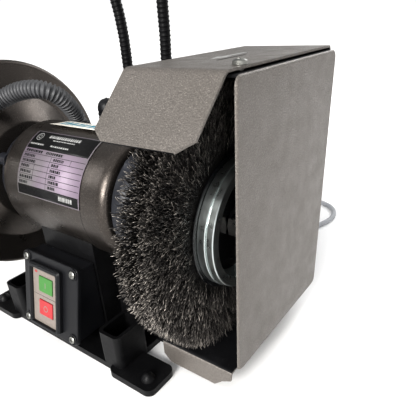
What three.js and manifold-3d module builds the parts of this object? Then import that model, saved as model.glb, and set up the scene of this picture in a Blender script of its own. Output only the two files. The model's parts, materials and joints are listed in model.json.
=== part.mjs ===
// A bench grinder: an induction motor on a cast base drives a grinding wheel on its left
// and a wide wire brush, in a sheet-steel box guard, on its right.
// Millimetres, +Z up, +X along the spindle towards the brush, the front faces -Y.
// The origin is the middle of the base's underside.
import * as THREE from 'three';
import { mergeVertices } from 'three/addons/utils/BufferGeometryUtils.js';
import Module from 'manifold-3d';

const wasm = await Module();
wasm.setup();

// ---------- driving dimensions ----------
const GAP = 0.3; // clearance between pieces that touch
const AXIS_H = 172; // spindle height
const MOTOR_R = 70;
const MOTOR_HALF = 88; // half length of the motor tube
const BELL_END = 124.5; // distance of each end bell's outer face from the middle
const SHAFT_R = 12.5;
const SEAT_R = 10; // the shaft's ends, where the brush and the wheel sit
const SEAT_BORE = SEAT_R + GAP;
const SHOULDER = 150; // distance of the shaft's shoulders from the middle

const BRUSH = { r: 128, x0: 163, x1: 193, core: 52 };
const BOX = { // the brush's guard, outer sizes
  x0: 125.5, x1: 220.5, front: -52.5, back: 137, top: 312, bottom: 32, lip: 7, sheet: 2,
  hood: 65, hoodSlope: 44,
};
const COVER = { inner: 225.3, outer: 227.6, top: 308.6, bottom: 37, flange: 15 };

const WHEEL = { r: 125, x0: -192, x1: -160, bore: 16 };
const SHELL = { r: 137, inner: -150, outer: -214, sheet: 2.5 };

const FOOT = { x: 151, inner: 88, front: 103, depth: 43, bolt: [136, 88], thick: 8 };
const COLUMN = { x: 45, y: 58, wall: 6 };
const POCKET = { x0: 73, x1: 104, y0: 50, y1: 95.5, top: 51, wall: 4 };
const WEB = { reach: 118, top: 78, y: 30, thick: 6 };
const BOLT_HOLE_R = 4.8;

const SWITCH = { tilt: 13.9, y: -83, z: 112, x: -4, width: 98, height: 95, lid: 5, frame: 6.5 };
const BUTTON = { width: 25, height: 19.5, back: -4, front: 4.2, travel: 3 };

const TERMINAL = { x: 62, y0: 60, y1: 108, z0: 162, top: 206, lid: 4, wall: 3 };
// The mains lead's spare length lies on the bench as a coil.
const LEAD = { d: 8, coilInner: 34, coilOuter: 50, coilTop: 24, coil: [70, 360] };

// ---------- finishes ----------
const finish = (color, roughness, metalness) => new THREE.MeshStandardMaterial({ color, roughness, metalness });
const HAMMERED = finish('#6b635b', 0.4, 0.6);
const GUARD_PAINT = finish('#77706a', 0.55, 0.5);
const BLACK_CAST = finish('#17171a', 0.5, 0.3);
const BLACK_PLASTIC = finish('#1b1c1f', 0.45, 0);
const BLACK_GLOSS = finish('#08090b', 0.12, 0.8);
const STEEL = finish('#a9abad', 0.3, 1);
const ZINC = finish('#c4c6c4', 0.3, 1);
const CORE_STEEL = finish('#6f7378', 0.5, 0.9);
const COPPER = finish('#9c5a2c', 0.4, 0.9);
const WIRE = finish('#55504a', 0.5, 0.9);
const STONE = finish('#8f9295', 0.95, 0);
const GREY_HOSE = finish('#85878b', 0.5, 0);
const GREY_PANEL = finish('#8d8680', 0.6, 0);
const GREEN = finish('#3f9b32', 0.45, 0);
const RED = finish('#c0343a', 0.45, 0);
const CLEAR = finish('#dfe8ea', 0.08, 0);
const LABEL = finish('#d9cfd6', 0.4, 0.3);

// ---------- geometry helpers ----------
const DEG = Math.PI / 180;
const BIG = 28; // sides of the largest round pieces
const MID = 16;
const SMALL = 10;

// Turn the faces outwards if the sweep left them inwards.
function outward(geometry) {
  const g = geometry.index ? geometry.toNonIndexed() : geometry;
  const p = g.attributes.position;
  const [a, b, c] = [new THREE.Vector3(), new THREE.Vector3(), new THREE.Vector3()];
  let volume = 0;
  for (let i = 0; i < p.count; i += 3) {
    a.fromBufferAttribute(p, i);
    b.fromBufferAttribute(p, i + 1);
    c.fromBufferAttribute(p, i + 2);
    volume += a.dot(b.cross(c));
  }
  if (volume >= 0) return g;
  for (let i = 0; i < p.count; i += 3) {
    b.fromBufferAttribute(p, i + 1);
    c.fromBufferAttribute(p, i + 2);
    p.setXYZ(i + 1, c.x, c.y, c.z);
    p.setXYZ(i + 2, b.x, b.y, b.z);
  }
  return g;
}

function toSolid(geometry) {
  const bare = geometry.clone();
  bare.deleteAttribute('normal');
  bare.deleteAttribute('uv');
  const welded = mergeVertices(bare, 1e-4);
  return new wasm.Manifold(new wasm.Mesh({
    numProp: 3,
    vertProperties: new Float32Array(welded.attributes.position.array),
    triVerts: new Uint32Array(welded.index.array),
  }));
}

function toGeometry(manifold) {
  const mesh = manifold.getMesh();
  const geometry = new THREE.BufferGeometry();
  geometry.setAttribute('position', new THREE.BufferAttribute(new Float32Array(mesh.vertProperties), 3));
  geometry.setIndex(new THREE.BufferAttribute(new Uint32Array(mesh.triVerts), 1));
  geometry.computeVertexNormals();
  return geometry;
}

const join = (first, ...rest) => toGeometry(rest.reduce((s, g) => s.add(toSolid(g)), toSolid(first)));
const cut = (first, ...rest) => toGeometry(rest.reduce((s, g) => s.subtract(toSolid(g)), toSolid(first)));

function box(x0, x1, y0, y1, z0, z1) {
  const g = new THREE.BoxGeometry(x1 - x0, y1 - y0, z1 - z0);
  return g.translate((x0 + x1) / 2, (y0 + y1) / 2, (z0 + z1) / 2);
}

function outline(points) {
  return new THREE.Shape(points.map(([u, v]) => new THREE.Vector2(u, v)));
}

function roundedRect(u0, u1, v0, v1, r) {
  const s = new THREE.Shape();
  s.moveTo(u0 + r, v0);
  s.lineTo(u1 - r, v0).absarc(u1 - r, v0 + r, r, -Math.PI / 2, 0);
  s.lineTo(u1, v1 - r).absarc(u1 - r, v1 - r, r, 0, Math.PI / 2);
  s.lineTo(u0 + r, v1).absarc(u0 + r, v1 - r, r, Math.PI / 2, Math.PI);
  s.lineTo(u0, v0 + r).absarc(u0 + r, v0 + r, r, Math.PI, 1.5 * Math.PI);
  return s;
}

const extrude = (shape, depth) =>
  new THREE.ExtrudeGeometry(shape, { depth, bevelEnabled: false, curveSegments: 3 });

// An outline in (y, z) swept from x0 to x1.
function alongX(shape, x0, x1) {
  const swap = new THREE.Matrix4().set(0, 0, 1, x0, 1, 0, 0, 0, 0, 1, 0, 0, 0, 0, 0, 1);
  return extrude(shape, x1 - x0).applyMatrix4(swap);
}

// An outline in (x, z) swept from y0 to y1.
const alongY = (shape, y0, y1) => extrude(shape, y1 - y0).rotateX(Math.PI / 2).translate(0, y1, 0);

// An outline in (x, y) swept from z0 to z1.
const alongZ = (shape, z0, z1) => extrude(shape, z1 - z0).translate(0, 0, z0);

// A profile of [radius, position] turned about Z; its outer side runs towards +Z.
function turnedZ(profile, segments = SMALL) {
  const points = profile.map(([r, z]) => new THREE.Vector2(r, z));
  return outward(new THREE.LatheGeometry(points, segments).rotateX(Math.PI / 2));
}

// The same profile turned about the spindle, with positions along X.
function turnedX(profile, segments = BIG) {
  return turnedZ(profile, segments).rotateY(Math.PI / 2).translate(0, 0, AXIS_H);
}

// A closed ring profile between two radii.
const ringProfile = (r0, r1, a, b) => [[r0, a], [r1, a], [r1, b], [r0, b], [r0, a]];
const discProfile = (r, a, b) => [[0, a], [r, a], [r, b], [0, b]];

const spindleRing = (r0, r1, a, b, segments) => turnedX(ringProfile(r0, r1, a, b), segments);
const spindleDisc = (r, a, b, segments) => turnedX(discProfile(r, a, b), segments);

function hexProfile(r) {
  const corner = (i) => [r * Math.cos(i * 60 * DEG), r * Math.sin(i * 60 * DEG)];
  return outline([0, 1, 2, 3, 4, 5].map(corner));
}

// A point at an angle about the spindle, measured up from the front horizontal.
const around = (radius, degrees) =>
  [-radius * Math.cos(degrees * DEG), AXIS_H + radius * Math.sin(degrees * DEG)];

// A round bar along X at (y, z).
const barX = (r, x0, x1, y, z, segments = SMALL) =>
  turnedZ(discProfile(r, x0, x1), segments).rotateY(Math.PI / 2).translate(0, y, z);
const barY = (r, y0, y1, x, z, segments = SMALL) =>
  turnedZ(discProfile(r, y0, y1), segments).rotateX(-Math.PI / 2).translate(x, 0, z);
const barZ = (r, z0, z1, x, y, segments = SMALL) =>
  turnedZ(discProfile(r, z0, z1), segments).translate(x, y, 0);

// A tube along a smooth curve through points, with a round section.
function sweptTube(points, diameter, steps, sides) {
  const curve = new THREE.CatmullRomCurve3(points.map((p) => new THREE.Vector3(...p)), false, 'centripetal');
  const section = new THREE.Shape();
  for (let i = 0; i < sides; i += 1) {
    const a = (2 * Math.PI * i) / sides;
    const [u, v] = [0.5 * diameter * Math.cos(a), 0.5 * diameter * Math.sin(a)];
    if (i === 0) section.moveTo(u, v);
    else section.lineTo(u, v);
  }
  return outward(new THREE.ExtrudeGeometry(section, { steps, extrudePath: curve, bevelEnabled: false }));
}

const grinder = new THREE.Group();

function part(name, geometry, material, parent = grinder) {
  const mesh = new THREE.Mesh(geometry, material);
  mesh.name = name;
  parent.add(mesh);
  return mesh;
}

// ---------- base ----------
const SADDLE_R = MOTOR_R + GAP;
const FLOOR = FOOT.thick;
const MAINS_HOLE = { x: 30, z: 32, r: 8 };
const SWITCH_HOLE = { z: 60, r: 11 };
const CAVITY_TOP = 92;
const COLUMN_TOP = 141; // above the tube's underside, before the saddle is cut

// One open-topped pocket beside a foot, in the quadrant given by sx and sy.
function pocketSolids(sx, sy) {
  const { x0, x1, y0, y1, top, wall } = POCKET;
  const [xa, xb] = sx > 0 ? [x0, x1] : [-x1, -x0];
  const [ya, yb] = sy > 0 ? [y0, y1] : [-y1, -y0];
  return {
    outer: alongZ(roundedRect(xa, xb, ya, yb, 7), 1, top),
    inner: alongZ(roundedRect(xa + wall, xb - wall, ya + wall, yb - wall, 4), FLOOR + 1, top + 1),
  };
}

function footPad(sx, sy) {
  const [xa, xb] = sx > 0 ? [FOOT.inner, FOOT.x] : [-FOOT.x, -FOOT.inner];
  const near = FOOT.front - FOOT.depth;
  const [ya, yb] = sy > 0 ? [near, FOOT.front] : [-FOOT.front, -near];
  return alongZ(roundedRect(xa, xb, ya, yb, 9), 0, FOOT.thick);
}

// Sloping web from the column's side out to the foot.
function sideWeb(sx, y) {
  const inner = sx * (COLUMN.x - 1);
  const foot = FLOOR / 2;
  const web = outline([[inner, foot], [sx * WEB.reach, foot], [inner, WEB.top]]);
  return alongY(web, y - WEB.thick / 2, y + WEB.thick / 2);
}

function baseCasting() {
  const quadrants = [[-1, -1], [1, -1], [-1, 1], [1, 1]];
  const pockets = quadrants.map(([sx, sy]) => pocketSolids(sx, sy));
  const plate = alongZ(roundedRect(-POCKET.x1 + 1, POCKET.x1 - 1, -POCKET.y1, POCKET.y1, 8), 0, FLOOR);
  const column = box(-COLUMN.x, COLUMN.x, -COLUMN.y, COLUMN.y, 1, COLUMN_TOP);
  const webs = [-1, 1].flatMap((sx) => [-WEB.y, WEB.y].map((y) => sideWeb(sx, y)));
  const body = join(plate, column, ...quadrants.map(([sx, sy]) => footPad(sx, sy)), ...webs,
    ...pockets.map((p) => p.outer));
  const { x, y, wall } = COLUMN;
  const saddle = spindleDisc(SADDLE_R, -BELL_END, BELL_END);
  const cavity = box(-x + wall, x - wall, -y + wall, y - wall, FLOOR + 2, CAVITY_TOP);
  const wireHole = barZ(13, CAVITY_TOP - 2, 130, 0, 0);
  const switchHole = barY(SWITCH_HOLE.r, -y - 2, -y + wall + 2, SWITCH.x, SWITCH_HOLE.z);
  const mainsHole = barY(MAINS_HOLE.r + GAP, y - wall - 2, y + 2, MAINS_HOLE.x, MAINS_HOLE.z);
  const boltHoles = quadrants.map(([sx, sy]) =>
    barZ(BOLT_HOLE_R, -1, FLOOR + 1, sx * FOOT.bolt[0], sy * FOOT.bolt[1]));
  const hollows = pockets.map((p) => p.inner);
  return cut(body, saddle, cavity, wireHole, switchHole, mainsHole, ...boltHoles, ...hollows);
}

const CAPACITOR = { r: 17, half: 34, y: 14 };

// Domed bolt through a foot, standing at the origin.
function benchBolt() {
  const top = FOOT.thick + GAP;
  const shank = BOLT_HOLE_R - 0.4;
  return turnedZ([[0, 0.2], [shank, 0.2], [shank, top], [9.5, top], [9, top + 2], [7, top + 6],
    [0, top + 7.8]]);
}

function addBase() {
  part('base_casting', baseCasting(), BLACK_CAST);
  const sides = { left: -1, right: 1 };
  const rows = { front: -1, rear: 1 };
  for (const [row, sy] of Object.entries(rows)) {
    for (const [side, sx] of Object.entries(sides)) {
      const bolt = part(`bench_bolt_${row}_${side}`, benchBolt(), BLACK_CAST);
      bolt.position.set(sx * FOOT.bolt[0], sy * FOOT.bolt[1], 0);
    }
  }
  const { r, half, y } = CAPACITOR;
  const can = barX(r, -half, half, y, FLOOR + 2 + r + GAP, MID);
  part('run_capacitor', can, BLACK_PLASTIC);
}

// ---------- motor ----------
const TUBE_BORE = MOTOR_R - 3.5;
const SHAFT_END = { left: -208, right: 210 };
const BEARING = { r: 26, x: 100, width: 15 };
const CORE = { half: 38, bore: 39.5, slots: 12, slotR: 52, slotWidth: 9 };

function motorHousing() {
  const e = MOTOR_HALF;
  const profile = [[TUBE_BORE, -e], [MOTOR_R - 3, -e], [MOTOR_R - 0.8, -e + 2.6], [MOTOR_R, -e + 6],
    [MOTOR_R, e - 6], [MOTOR_R - 0.8, e - 2.6], [MOTOR_R - 3, e], [TUBE_BORE, e], [TUBE_BORE, -e]];
  const wireHole = barZ(11, AXIS_H - MOTOR_R - 4, AXIS_H - 50, 0, 0);
  return cut(turnedX(profile), wireHole);
}

function slotBars(width, r0, r1, half) {
  return Array.from({ length: CORE.slots }, (_, i) => box(-half, half, -width / 2, width / 2, r0, r1)
    .rotateX((i * 360 / CORE.slots) * DEG).translate(0, 0, AXIS_H));
}

function addStator() {
  const { half, bore, slotR, slotWidth } = CORE;
  const ring = spindleRing(bore, TUBE_BORE - GAP, -half, half);
  part('stator_core', cut(ring, ...slotBars(slotWidth, bore - 4, slotR, half + 1)), CORE_STEEL);
  const ends = [[-half - 16, -half - 1], [half + 1, half + 16]].map(([a, b]) => spindleRing(43, 58, a, b, MID));
  part('stator_windings', join(...ends, ...slotBars(slotWidth - 1.5, 43.5, slotR - 1, half + 2)), COPPER);
}

const BOSS = { angles: [56, 146, 236, 326], r: 8, circle: 57 };

// End bell for the right end (side 1) or the left (side -1), with bosses for the guard's screws.
function endBell(side) {
  const a = MOTOR_HALF + GAP;
  const hole = SHAFT_R + 2.5;
  const spigot = TUBE_BORE - GAP;
  const [seat, wall] = [BEARING.r + GAP, BEARING.r + 6];
  const [near, far] = [BEARING.x - BEARING.width / 2 - 2, BEARING.x + BEARING.width / 2 + 1];
  const shell = [[spigot - 5, a - 10], [spigot, a - 10], [spigot, a], [MOTOR_R - 4, a], [MOTOR_R - 5, a + 8],
    [MOTOR_R - 11, a + 19], [MOTOR_R - 22, a + 28], [40, BELL_END], [hole, BELL_END], [hole, far], [seat, far],
    [seat, near], [wall, near], [wall + 2, far + 1.5], [spigot - 16, far - 2.5], [spigot - 5, a + 2],
    [spigot - 5, a - 10]];
  const bosses = BOSS.angles.map((angle) => {
    const [y, z] = around(BOSS.circle, side > 0 ? angle : 180 - angle);
    return barX(BOSS.r, a + 4, a + 21, y, z, 8);
  });
  const bell = join(turnedX(shell), ...bosses);
  return side > 0 ? bell : bell.rotateZ(Math.PI);
}

// The rating plate's edges are angles about the spindle, up from the front.
const PLATE = { half: 52.5, low: 5.5, high: 69.5, r0: MOTOR_R + GAP, r1: MOTOR_R + 0.9, steps: 10 };

// Curved rating plate that follows the tube.
function nameplate() {
  const { low, high, r0, r1, steps } = PLATE;
  const arc = (r, from, to) =>
    Array.from({ length: steps + 1 }, (_, i) => around(r, from + ((to - from) * i) / steps));
  return alongX(outline([...arc(r0, low, high), ...arc(r1, high, low)]), -PLATE.half, PLATE.half);
}

function addMotor() {
  part('motor_housing', motorHousing(), HAMMERED);
  addStator();
  for (const [side, s] of [['left', -1], ['right', 1]]) {
    const x = s * BEARING.x;
    const w = BEARING.width / 2;
    part(`end_bell_${side}`, endBell(s), BLACK_CAST);
    part(`bearing_${side}`, spindleRing(SHAFT_R + 0.5, BEARING.r, x - w, x + w, MID), STEEL);
  }
  part('nameplate', nameplate(), LABEL);
}

// ---------- what turns ----------
const HUB = { plate: 190.2, plateR: 66, bandR: 62, band: 8.2, groove: 1.3, front: 208, floor: 192.5, bore: 50 };
const NUT = { r: 17, thick: 11.2 };
const WHEEL_FLANGE_R = 42;

function shaftBody() {
  const { left, right } = SHAFT_END;
  return turnedX([[0, left], [SEAT_R - 1, left], [SEAT_R, left + 1], [SEAT_R, -SHOULDER], [SHAFT_R, -SHOULDER],
    [SHAFT_R, SHOULDER], [SEAT_R, SHOULDER], [SEAT_R, right - 1], [SEAT_R - 1, right], [0, right]], MID);
}

// The wires' outer shape: it widens from the core to the rim.
function brushRing() {
  const { r, x0, x1, core } = BRUSH;
  const [root, mid, round] = [core + 14.5, 0.75 * r, 4];
  return turnedX([[core, x0 + 5], [root, x0 + 5], [mid, x0 + 1], [r - round, x0], [r, x0 + round],
    [r, x1 - round], [r - round, x1], [mid, x1 - 1.5], [root, x1 - 3.6], [core, x1 - 3.6], [core, x0 + 5]]);
}

// Deep outer flange: a disc, two polished bands with a groove between, and an open recess.
function brushFlangeOuter() {
  const { plate, plateR, bandR, band, groove, front, floor, bore } = HUB;
  const seat = BRUSH.core - 2;
  const clamp = plate - 0.4;
  const inner = plate + 1.8;
  const step = inner + band;
  const outerR = bandR - 0.8;
  return turnedX([[SEAT_BORE, clamp], [seat, clamp], [seat, plate], [plateR, plate], [plateR, inner],
    [bandR, inner], [bandR, step], [bandR - 1.8, step], [bandR - 1.8, step + groove], [outerR, step + groove],
    [outerR, front - 1], [outerR - 1, front], [bore, front], [bore - 3, floor], [SEAT_BORE, floor],
    [SEAT_BORE, clamp]]);
}

function brushFlangeInner() {
  const face = BRUSH.x0 + 4.6;
  const spigot = BRUSH.core - GAP;
  const end = HUB.plate - 0.8;
  return turnedX([[SEAT_BORE, SHOULDER + 1], [22, SHOULDER + 1], [22, face - 3], [64, face - 3], [64, face],
    [spigot, face], [spigot, end], [SEAT_BORE, end], [SEAT_BORE, SHOULDER + 1]]);
}

function spindleNut(x0, x1) {
  const hex = alongX(hexProfile(NUT.r), x0, x1).translate(0, 0, AXIS_H);
  return cut(hex, spindleDisc(SEAT_BORE, x0 - 1, x1 + 1, MID));
}

function addSpindle() {
  part('motor_shaft', shaftBody(), STEEL);
  part('rotor', spindleRing(SHAFT_R + 0.4, CORE.bore - 0.8, -CORE.half, CORE.half, MID), CORE_STEEL);
  part('brush_flange_inner', brushFlangeInner(), BLACK_GLOSS);
  part('wire_brush', brushRing(), WIRE);
  part('brush_flange_outer', brushFlangeOuter(), BLACK_GLOSS);
  const nutSeat = HUB.floor + GAP;
  part('brush_nut', spindleNut(nutSeat, nutSeat + NUT.thick), STEEL);
  const [a, b] = [WHEEL.x0, WHEEL.x1];
  const flangeEnd = a - 7;
  const wheelFlange = (x0, x1) => spindleRing(SEAT_BORE, WHEEL_FLANGE_R, x0, x1, MID);
  part('grinding_wheel', spindleRing(WHEEL.bore, WHEEL.r, a, b, BIG), STONE);
  part('wheel_flange_inner', wheelFlange(b + GAP, -SHOULDER - 2 * GAP), STEEL);
  part('wheel_flange_outer', wheelFlange(flangeEnd, a - GAP), STEEL);
  part('wheel_nut', spindleNut(SHAFT_END.left + 1.4, flangeEnd - GAP), STEEL);
}

// ---------- brush guard ----------
const TOP_SCREW = { x: 214, y: -26 };
const REAR_SCREW = { x: 213, z: 172 };
const SCREW_HOLE_R = 2.9;
const screwHoleTop = () => barZ(SCREW_HOLE_R, BOX.top - 8, BOX.top + 2, TOP_SCREW.x, TOP_SCREW.y, 12);
const screwHoleRear = () => barY(SCREW_HOLE_R, BOX.back - 12, BOX.back + 2, REAR_SCREW.x, REAR_SCREW.z, 12);

// The hood is the top sheet's front end, bent down over the brush, with its corners cut off.
function hoodFlap() {
  const { x0, x1, front, top, sheet, hood, hoodSlope } = BOX;
  const flap = outline([[x0, 0], [x1, 0], [x1, -hood + 11], [x1 - 13, -hood], [x0 + 12, -hood],
    [x0, -hood + 9]]);
  return extrude(flap, sheet).rotateX(hoodSlope * DEG).translate(0, front, top - sheet);
}

function frontLip() {
  const { x0, x1, front, bottom, sheet, lip } = BOX;
  const shape = outline([[x0 + 6, bottom + sheet], [x1 - 0.5, bottom + sheet], [x1 - 1.5, lip + 15],
    [x1 - 15.5, lip], [x0 + 15, lip], [x0 + 6, lip + 9]]);
  return alongY(shape, front - sheet, front);
}

function brushGuardBody() {
  const { x0, x1, front, back, top, bottom, sheet } = BOX;
  const side = box(x0, x0 + sheet, front, back, bottom, top);
  const topPlate = box(x0, x1, front - sheet, back, top - sheet, top);
  const rear = box(x0, x1, back - sheet, back, bottom, top);
  const floor = box(x0 + 1, x1, front - sheet, back, bottom, bottom + sheet);
  const body = join(topPlate, side, rear, floor, frontLip(), hoodFlap());
  return cut(body, spindleDisc(24, x0 - 2, x0 + 5), screwHoleTop(), screwHoleRear());
}

// Outer cover: a flat plate with flanges that sit inside the guard's top, back and bottom.
function brushGuardCover() {
  const { inner, outer, top, bottom, flange } = COVER;
  const { front, back, sheet } = BOX;
  const rim = back - sheet - GAP;
  const x0 = inner - flange;
  const plate = alongX(roundedRect(front, back, bottom, top, 5), inner, outer);
  const topFlange = box(x0, inner + 1, front + 4, rim - 4, top - 2.2, top - 0.2);
  const rearFlange = box(x0, inner + 1, rim - 2, rim, bottom + 6, top - 8);
  const cover = join(plate, topFlange, rearFlange);
  return cut(cover, screwHoleTop(), screwHoleRear());
}

// Pan-head screw along +Z with its seat at the origin.
const panScrew = (shank, length, head, height) =>
  turnedZ([[0, -length], [shank, -length], [shank, 0], [head, 0], [head, height * 0.45],
    [head * 0.72, height * 0.9], [0, height]]);

function addBrushGuard() {
  part('brush_guard_body', brushGuardBody(), GUARD_PAINT);
  part('brush_guard_cover', brushGuardCover(), GUARD_PAINT);
  const screw = () => panScrew(2.5, 9, 5.6, 4);
  const top = part('guard_screw_top', screw(), ZINC);
  top.position.set(TOP_SCREW.x, TOP_SCREW.y, BOX.top + GAP);
  const rear = part('guard_screw_rear', screw(), ZINC);
  rear.rotation.x = -Math.PI / 2;
  rear.position.set(REAR_SCREW.x, BOX.back + GAP, REAR_SCREW.z);
}

// ---------- wheel guard, rest and shield ----------
const MOUTH = { y: -96, low: 118, high: 272 }; // the guard's open front

// The spark deflector and the tab it is clamped to share a plane that leans back over the wheel.
const DEFLECTOR = { lean: -22, y: -97.5, z: 268 };
const onDeflector = (g) => g.rotateX(DEFLECTOR.lean * DEG).translate(0, DEFLECTOR.y, DEFLECTOR.z);
const deflectorTab = () => onDeflector(box(-203, -159, GAP, 3.5, 3.5, 21));

function mouthCutter() {
  return box(SHELL.outer - 20, SHELL.inner + 40, -170, MOUTH.y, MOUTH.low, MOUTH.high);
}

function wheelGuardBody() {
  const { r, inner, outer, sheet } = SHELL;
  const rimEnd = outer + sheet + GAP;
  const hub = -BELL_END - GAP;
  const profile = [[r, rimEnd], [r, inner - 6], [r - 1.8, inner - 1.8], [r - 6, inner], [96, inner],
    [64, hub - 1], [58, hub], [24, hub], [24, hub - sheet], [57, hub - sheet], [93, inner - sheet],
    [r - 6, inner - sheet], [r - sheet, inner - 6], [r - sheet, rimEnd], [r, rimEnd]];
  return join(cut(turnedX(profile.reverse()), mouthCutter()), deflectorTab());
}

function wheelGuardCover() {
  const { r, outer, sheet } = SHELL;
  return cut(spindleDisc(r, outer, outer + sheet, BIG), mouthCutter());
}

const REST = { top: 172, y: -127.5, depth: 46, x0: -212, x1: -140, bolt: [-176, -157], travel: 16 };

// Angle bracket on the wheel guard's inner wall; the rest's bolt slides in its slot.
function restBracket() {
  const [xa, xb] = [SHELL.inner + GAP, SHELL.inner + 5];
  const [x, y] = REST.bolt;
  const far = y - REST.travel - 6;
  const shelfTop = REST.top - 8.5;
  const foot = box(xa, xb, -116, -78, 96, 116);
  const arm = box(xa, xb, far, -100, 102, 116);
  const post = box(xa, xb, far, -145, 108, shelfTop);
  const shelf = box(-205, xb, far, -145, shelfTop - 4, shelfTop);
  const slot = box(x - 5, x + 5, y - REST.travel - 4, y + 7, shelfTop - 5, shelfTop + 1);
  return cut(join(foot, arm, post, shelf), slot);
}

function restTable() {
  const { x0, x1, y, depth, top, bolt } = REST;
  const table = alongZ(roundedRect(x0, x1, y - depth, y, 4), top - 8, top);
  const recess = box(bolt[0] - 7, bolt[0] + 7, bolt[1] - 7, bolt[1] + 7, top - 3, top + 1);
  return cut(table, recess, barZ(3.6, top - 10, top + 2, ...bolt));
}

function restKnob() {
  const z = REST.top - 12.8;
  const grip = turnedZ([[0, z - 18], [13, z - 18], [15, z - 15], [15, z - 8], [8, z - 5], [8, z], [3.2, z],
    [3.2, z + 11], [0, z + 11]]);
  return grip.translate(...REST.bolt, 0);
}

const SHIELD = { y: -112, z: 292, width: 62, height: 104, tilt: 38 };

// Arm that carries the shield's pivot, bolted to the upper edge of the wheel guard's inner face.
function shieldArm() {
  const shape = outline([[-88, 270], [-60, 272], [-62, 286], [-100, 303], [-118, 302], [-121, 286],
    [-104, 280]]);
  const pin = barX(4, -210, SHELL.inner + 4, SHIELD.y, SHIELD.z);
  return join(alongX(shape, SHELL.inner + GAP, SHELL.inner + 5), pin);
}

// Clear pane in a folded carrier that turns on the arm's pin; it hangs out over the work.
function shieldPane() {
  const { y, z, width, height, tilt } = SHIELD;
  const pane = box(-208, -208 + width - 4, -height, -6, -2, 2);
  const sleeve = cut(turnedZ(discProfile(8, -208, -151.5)).rotateY(Math.PI / 2),
    turnedZ(discProfile(4.4, -209, -150)).rotateY(Math.PI / 2));
  return join(pane, sleeve).rotateX(tilt * DEG).translate(0, y, z);
}

// Adjustable plate over the wheel at the top of the guard's mouth.
function sparkDeflector() {
  const plate = box(-206, -156, -2, 0, -26, 24);
  const slots = [-196, -170].map((x) => box(x, x + 6, -3, 1, -6, 20));
  return onDeflector(cut(plate, ...slots));
}

const LIMIT_BOX = { x1: -121, y0: -95, y1: -70, z0: 241, z1: 267 }; // switch that the shield's hose runs to

function addWheelGuard() {
  part('wheel_guard_body', wheelGuardBody(), HAMMERED);
  part('wheel_guard_cover', wheelGuardCover(), HAMMERED);
  part('tool_rest_bracket', restBracket(), BLACK_CAST);
  part('tool_rest_table', restTable(), BLACK_CAST);
  part('tool_rest_knob', restKnob(), BLACK_PLASTIC);
  part('eye_shield_arm', shieldArm(), BLACK_CAST);
  part('eye_shield', shieldPane(), CLEAR);
  part('spark_deflector', sparkDeflector(), HAMMERED);
  const { x1, y0, y1, z0, z1 } = LIMIT_BOX;
  const [x, y, z] = CONDUIT.route.at(-1);
  const boss = barY(13.5, y1 - 1, y - GAP, x, z, MID);
  const body = alongZ(roundedRect(SHELL.inner + GAP, x1, y0, y1, 4), z0, z1);
  part('shield_switch_box', join(body, boss), BLACK_PLASTIC);
}

// ---------- terminal box, conduit and lamps ----------
// Box behind the motor, open towards the tube and covered by a flat lid.
function terminalBox() {
  const { x, y0, y1, z0, top, wall } = TERMINAL;
  const shell = box(-x, x, y0, y1, z0, top);
  const inside = box(-x + wall, x - wall, y0 - 1, y1 - wall, z0 + wall, top + 1);
  return cut(shell, spindleDisc(SADDLE_R, -90, 90, BIG), inside);
}

function terminalLid() {
  const { x, y0, y1, top, lid } = TERMINAL;
  return alongZ(roundedRect(-x - 2, x + 2, y0 + 2, y1 + 2, 3), top + GAP, top + lid);
}

const LID_SEAT = TERMINAL.top + TERMINAL.lid + GAP;
const LAMP_GLAND = { x: -44, y: 74, r: 13, top: 259 };

function lampGland() {
  const { x, y, r, top } = LAMP_GLAND;
  const z = LID_SEAT;
  return turnedZ([[0, z], [r, z], [r, z + 10], [r - 2, z + 11], [r - 2, z + 16], [r - 1, z + 17],
    [r - 1, top - 12], [r - 3, top - 5], [r - 7, top - 1], [0, top]], MID).translate(x, y, 0);
}

// Grey corrugated hose from the motor's back, over the top and forward to the shield's switch box.
const CONDUIT = {
  d: 22,
  route: [[-77, 50, 230.8], [-77, 50, 232], [-77, 49.5, 237], [-75.5, 43, 246], [-72, 33, 257.5],
    [-72, 24, 266.9], [-76, 13.5, 274.2], [-86.4, 5.6, 277.2], [-102.5, -2.2, 276.5], [-117.4, -10.1, 272.4],
    [-129, -19, 266], [-134, -32, 260], [-134, -46, 255.5], [-134, -58, 254], [-134, -64.5, 254],
    [-134, -66, 254]],
};

function conduitGland() {
  const [x, y, z] = CONDUIT.route[0];
  const boss = barZ(14.5, z - 36, z - GAP, x, y, MID);
  return cut(boss, spindleDisc(SADDLE_R, -120, 120));
}

function addTerminals() {
  part('terminal_box', terminalBox(), BLACK_PLASTIC);
  part('terminal_lid', terminalLid(), BLACK_PLASTIC);
  part('conduit_gland', conduitGland(), BLACK_PLASTIC);
  part('lamp_gland', lampGland(), BLACK_PLASTIC);
  part('conduit', sweptTube(CONDUIT.route, CONDUIT.d, 28, 10), GREY_HOSE);
}

const NECK_START = LID_SEAT + 14;
const LAMPS = {
  left: {
    route: [[-13, 90, NECK_START], [-13, 90, 252], [-14, 90, 292], [-15, 90, 329], [-21, 90, 365],
      [-33, 86, 402], [-56, 72, 440], [-88, 48, 468], [-122, 14, 478], [-148, -22, 470], [-160, -48, 454]],
    aim: [-0.35, -0.65, -1],
  },
  right: {
    route: [[48, 90, NECK_START], [48, 90, 262], [48, 90, 301], [49, 90, 328], [49.5, 89.5, 361], [55, 85, 400],
      [72, 68, 440], [100, 38, 468], [130, 2, 474], [148, -30, 466], [157, -50, 452]],
    aim: [0.3, -0.6, -1],
  },
};
const NECK_D = 13;
const BALL_R = 8;

// Lamp shade along -Z from the centre of the ball it tilts on.
function lampHead() {
  const neck = -BALL_R - 2 * GAP;
  return turnedZ([[0, -60], [18, -60], [18, -62], [24, -62], [25, -58], [21, -34], [14, -20], [9, -16],
    [9, neck], [0, neck]], MID);
}

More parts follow.
